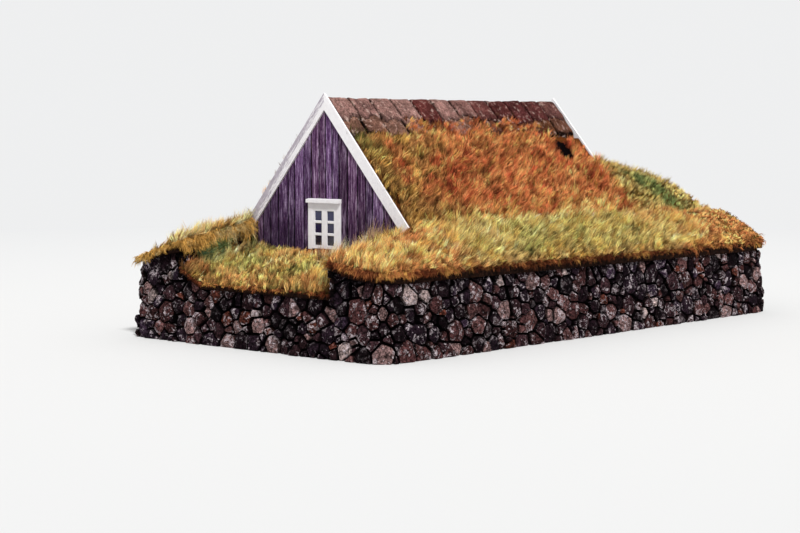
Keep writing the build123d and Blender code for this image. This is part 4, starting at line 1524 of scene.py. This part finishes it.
def dress_nodes():
    """Gives each visible node the look of the first entry that its name contains."""
    entries = (
        ("roof_boards", "old_wood"), ("rafters", "old_wood"), ("plate", "old_wood"), ("lintels", "old_wood"),
        ("front_left_bargeboard", "paint_left"), ("bargeboard", "paint_right"), ("window_glass", "glass"),
        ("window", "paint"), ("door_frame", "paint"), ("roof_turf", "rust_turf"),
        ("front_turf_ledge", "green_turf"), ("turf", "gold_turf"))
    for name, node in nodes.items():
        chosen = [look for part, look in entries if part in name]
        if node.hide_render or not chosen:
            continue
        for slot in node.material_slots:
            slot.material = looks[chosen[0]]
        if not node.material_slots:
            node.data.materials.append(looks[chosen[0]])


# Stage

def set_stage():
    """A pale floor and world that the camera sees as a plain backdrop, an even light and a soft sun."""
    floor_mesh = bpy.data.meshes.new("floor")
    corners = [(-floor_reach, -floor_reach), (floor_reach, -floor_reach), (floor_reach, floor_reach),
               (-floor_reach, floor_reach)]
    floor_mesh.from_pydata([(x, y, floor_height) for x, y in corners], [], [(0, 1, 2, 3)])
    floor = bpy.data.objects.new("floor", floor_mesh)
    bpy.context.scene.collection.objects.link(floor)
    ground = Look("pale_floor", 0.95, 0.1)
    ground.shader.inputs["Base Color"].default_value = floor_colour
    length = ground.tree.nodes.new("ShaderNodeVectorMath")
    length.operation = "LENGTH"
    ground.feed(length.inputs[0], ground.place)
    seen_by_camera = ground.tree.nodes.new("ShaderNodeLightPath").outputs["Is Camera Ray"]
    far = ground.times(ground.range(length.outputs["Value"], 9.0, 40.0), seen_by_camera)
    glow = ground.node("ShaderNodeEmission", Color=backdrop)
    blend = ground.tree.nodes.new("ShaderNodeMixShader")
    for socket, value in zip(blend.inputs, (far, ground.shader.outputs[0], glow.outputs[0])):
        ground.feed(socket, value)
    ground.feed(ground.tree.nodes["Material Output"].inputs["Surface"], blend.outputs[0])
    floor_mesh.materials.append(ground.material)

    world = bpy.data.worlds.new("studio")
    bpy.context.scene.world = world
    world.use_nodes = True
    tree = world.node_tree
    room, seen = tree.nodes["Background"], tree.nodes.new("ShaderNodeBackground")
    for light, colour, strength in ((room, (1.0, 1.0, 1.0, 1.0), room_strength), (seen, backdrop, 1.0)):
        light.inputs["Color"].default_value = colour
        light.inputs["Strength"].default_value = strength
    rays = tree.nodes.new("ShaderNodeLightPath").outputs
    either, more = tree.nodes.new("ShaderNodeMath"), tree.nodes.new("ShaderNodeMath")
    either.operation = more.operation = "MAXIMUM"
    choose = tree.nodes.new("ShaderNodeMixShader")
    for source, target in (
            (rays["Is Camera Ray"], either.inputs[0]), (rays["Is Glossy Ray"], either.inputs[1]),
            (either.outputs[0], more.inputs[0]), (rays["Is Transmission Ray"], more.inputs[1]),
            (more.outputs[0], choose.inputs["Fac"]), (room.outputs[0], choose.inputs[1]),
            (seen.outputs[0], choose.inputs[2]),
            (choose.outputs[0], tree.nodes["World Output"].inputs["Surface"])):
        tree.links.new(source, target)

    lamp = bpy.data.lights.new("soft_sun", "SUN")
    lamp.energy, lamp.angle = sun_strength, radians(10)
    sun = bpy.data.objects.new("soft_sun", lamp)
    sun.rotation_euler = to_sun.to_track_quat("Z", "Y").to_euler()
    bpy.context.scene.collection.objects.link(sun)


def set_camera():
    lens = bpy.data.cameras.new("photo_view")
    lens.lens, lens.sensor_width, lens.clip_end = focal_length, sensor_width, 2000.0
    camera = bpy.data.objects.new("photo_view", lens)
    camera.location = camera_place
    camera.rotation_euler = (radians(90 - camera_dip), 0.0, radians(camera_turn))
    bpy.context.scene.collection.objects.link(camera)
    bpy.context.scene.camera = camera


set_camera()
set_stage()
build_walls()
lay_ridge()
board_gables()
dress_window()
board_door()
dress_nodes()
grow_grass()
cheek_tufts()
dig_hollows()

scene = bpy.context.scene
scene.view_settings.view_transform = "Standard"
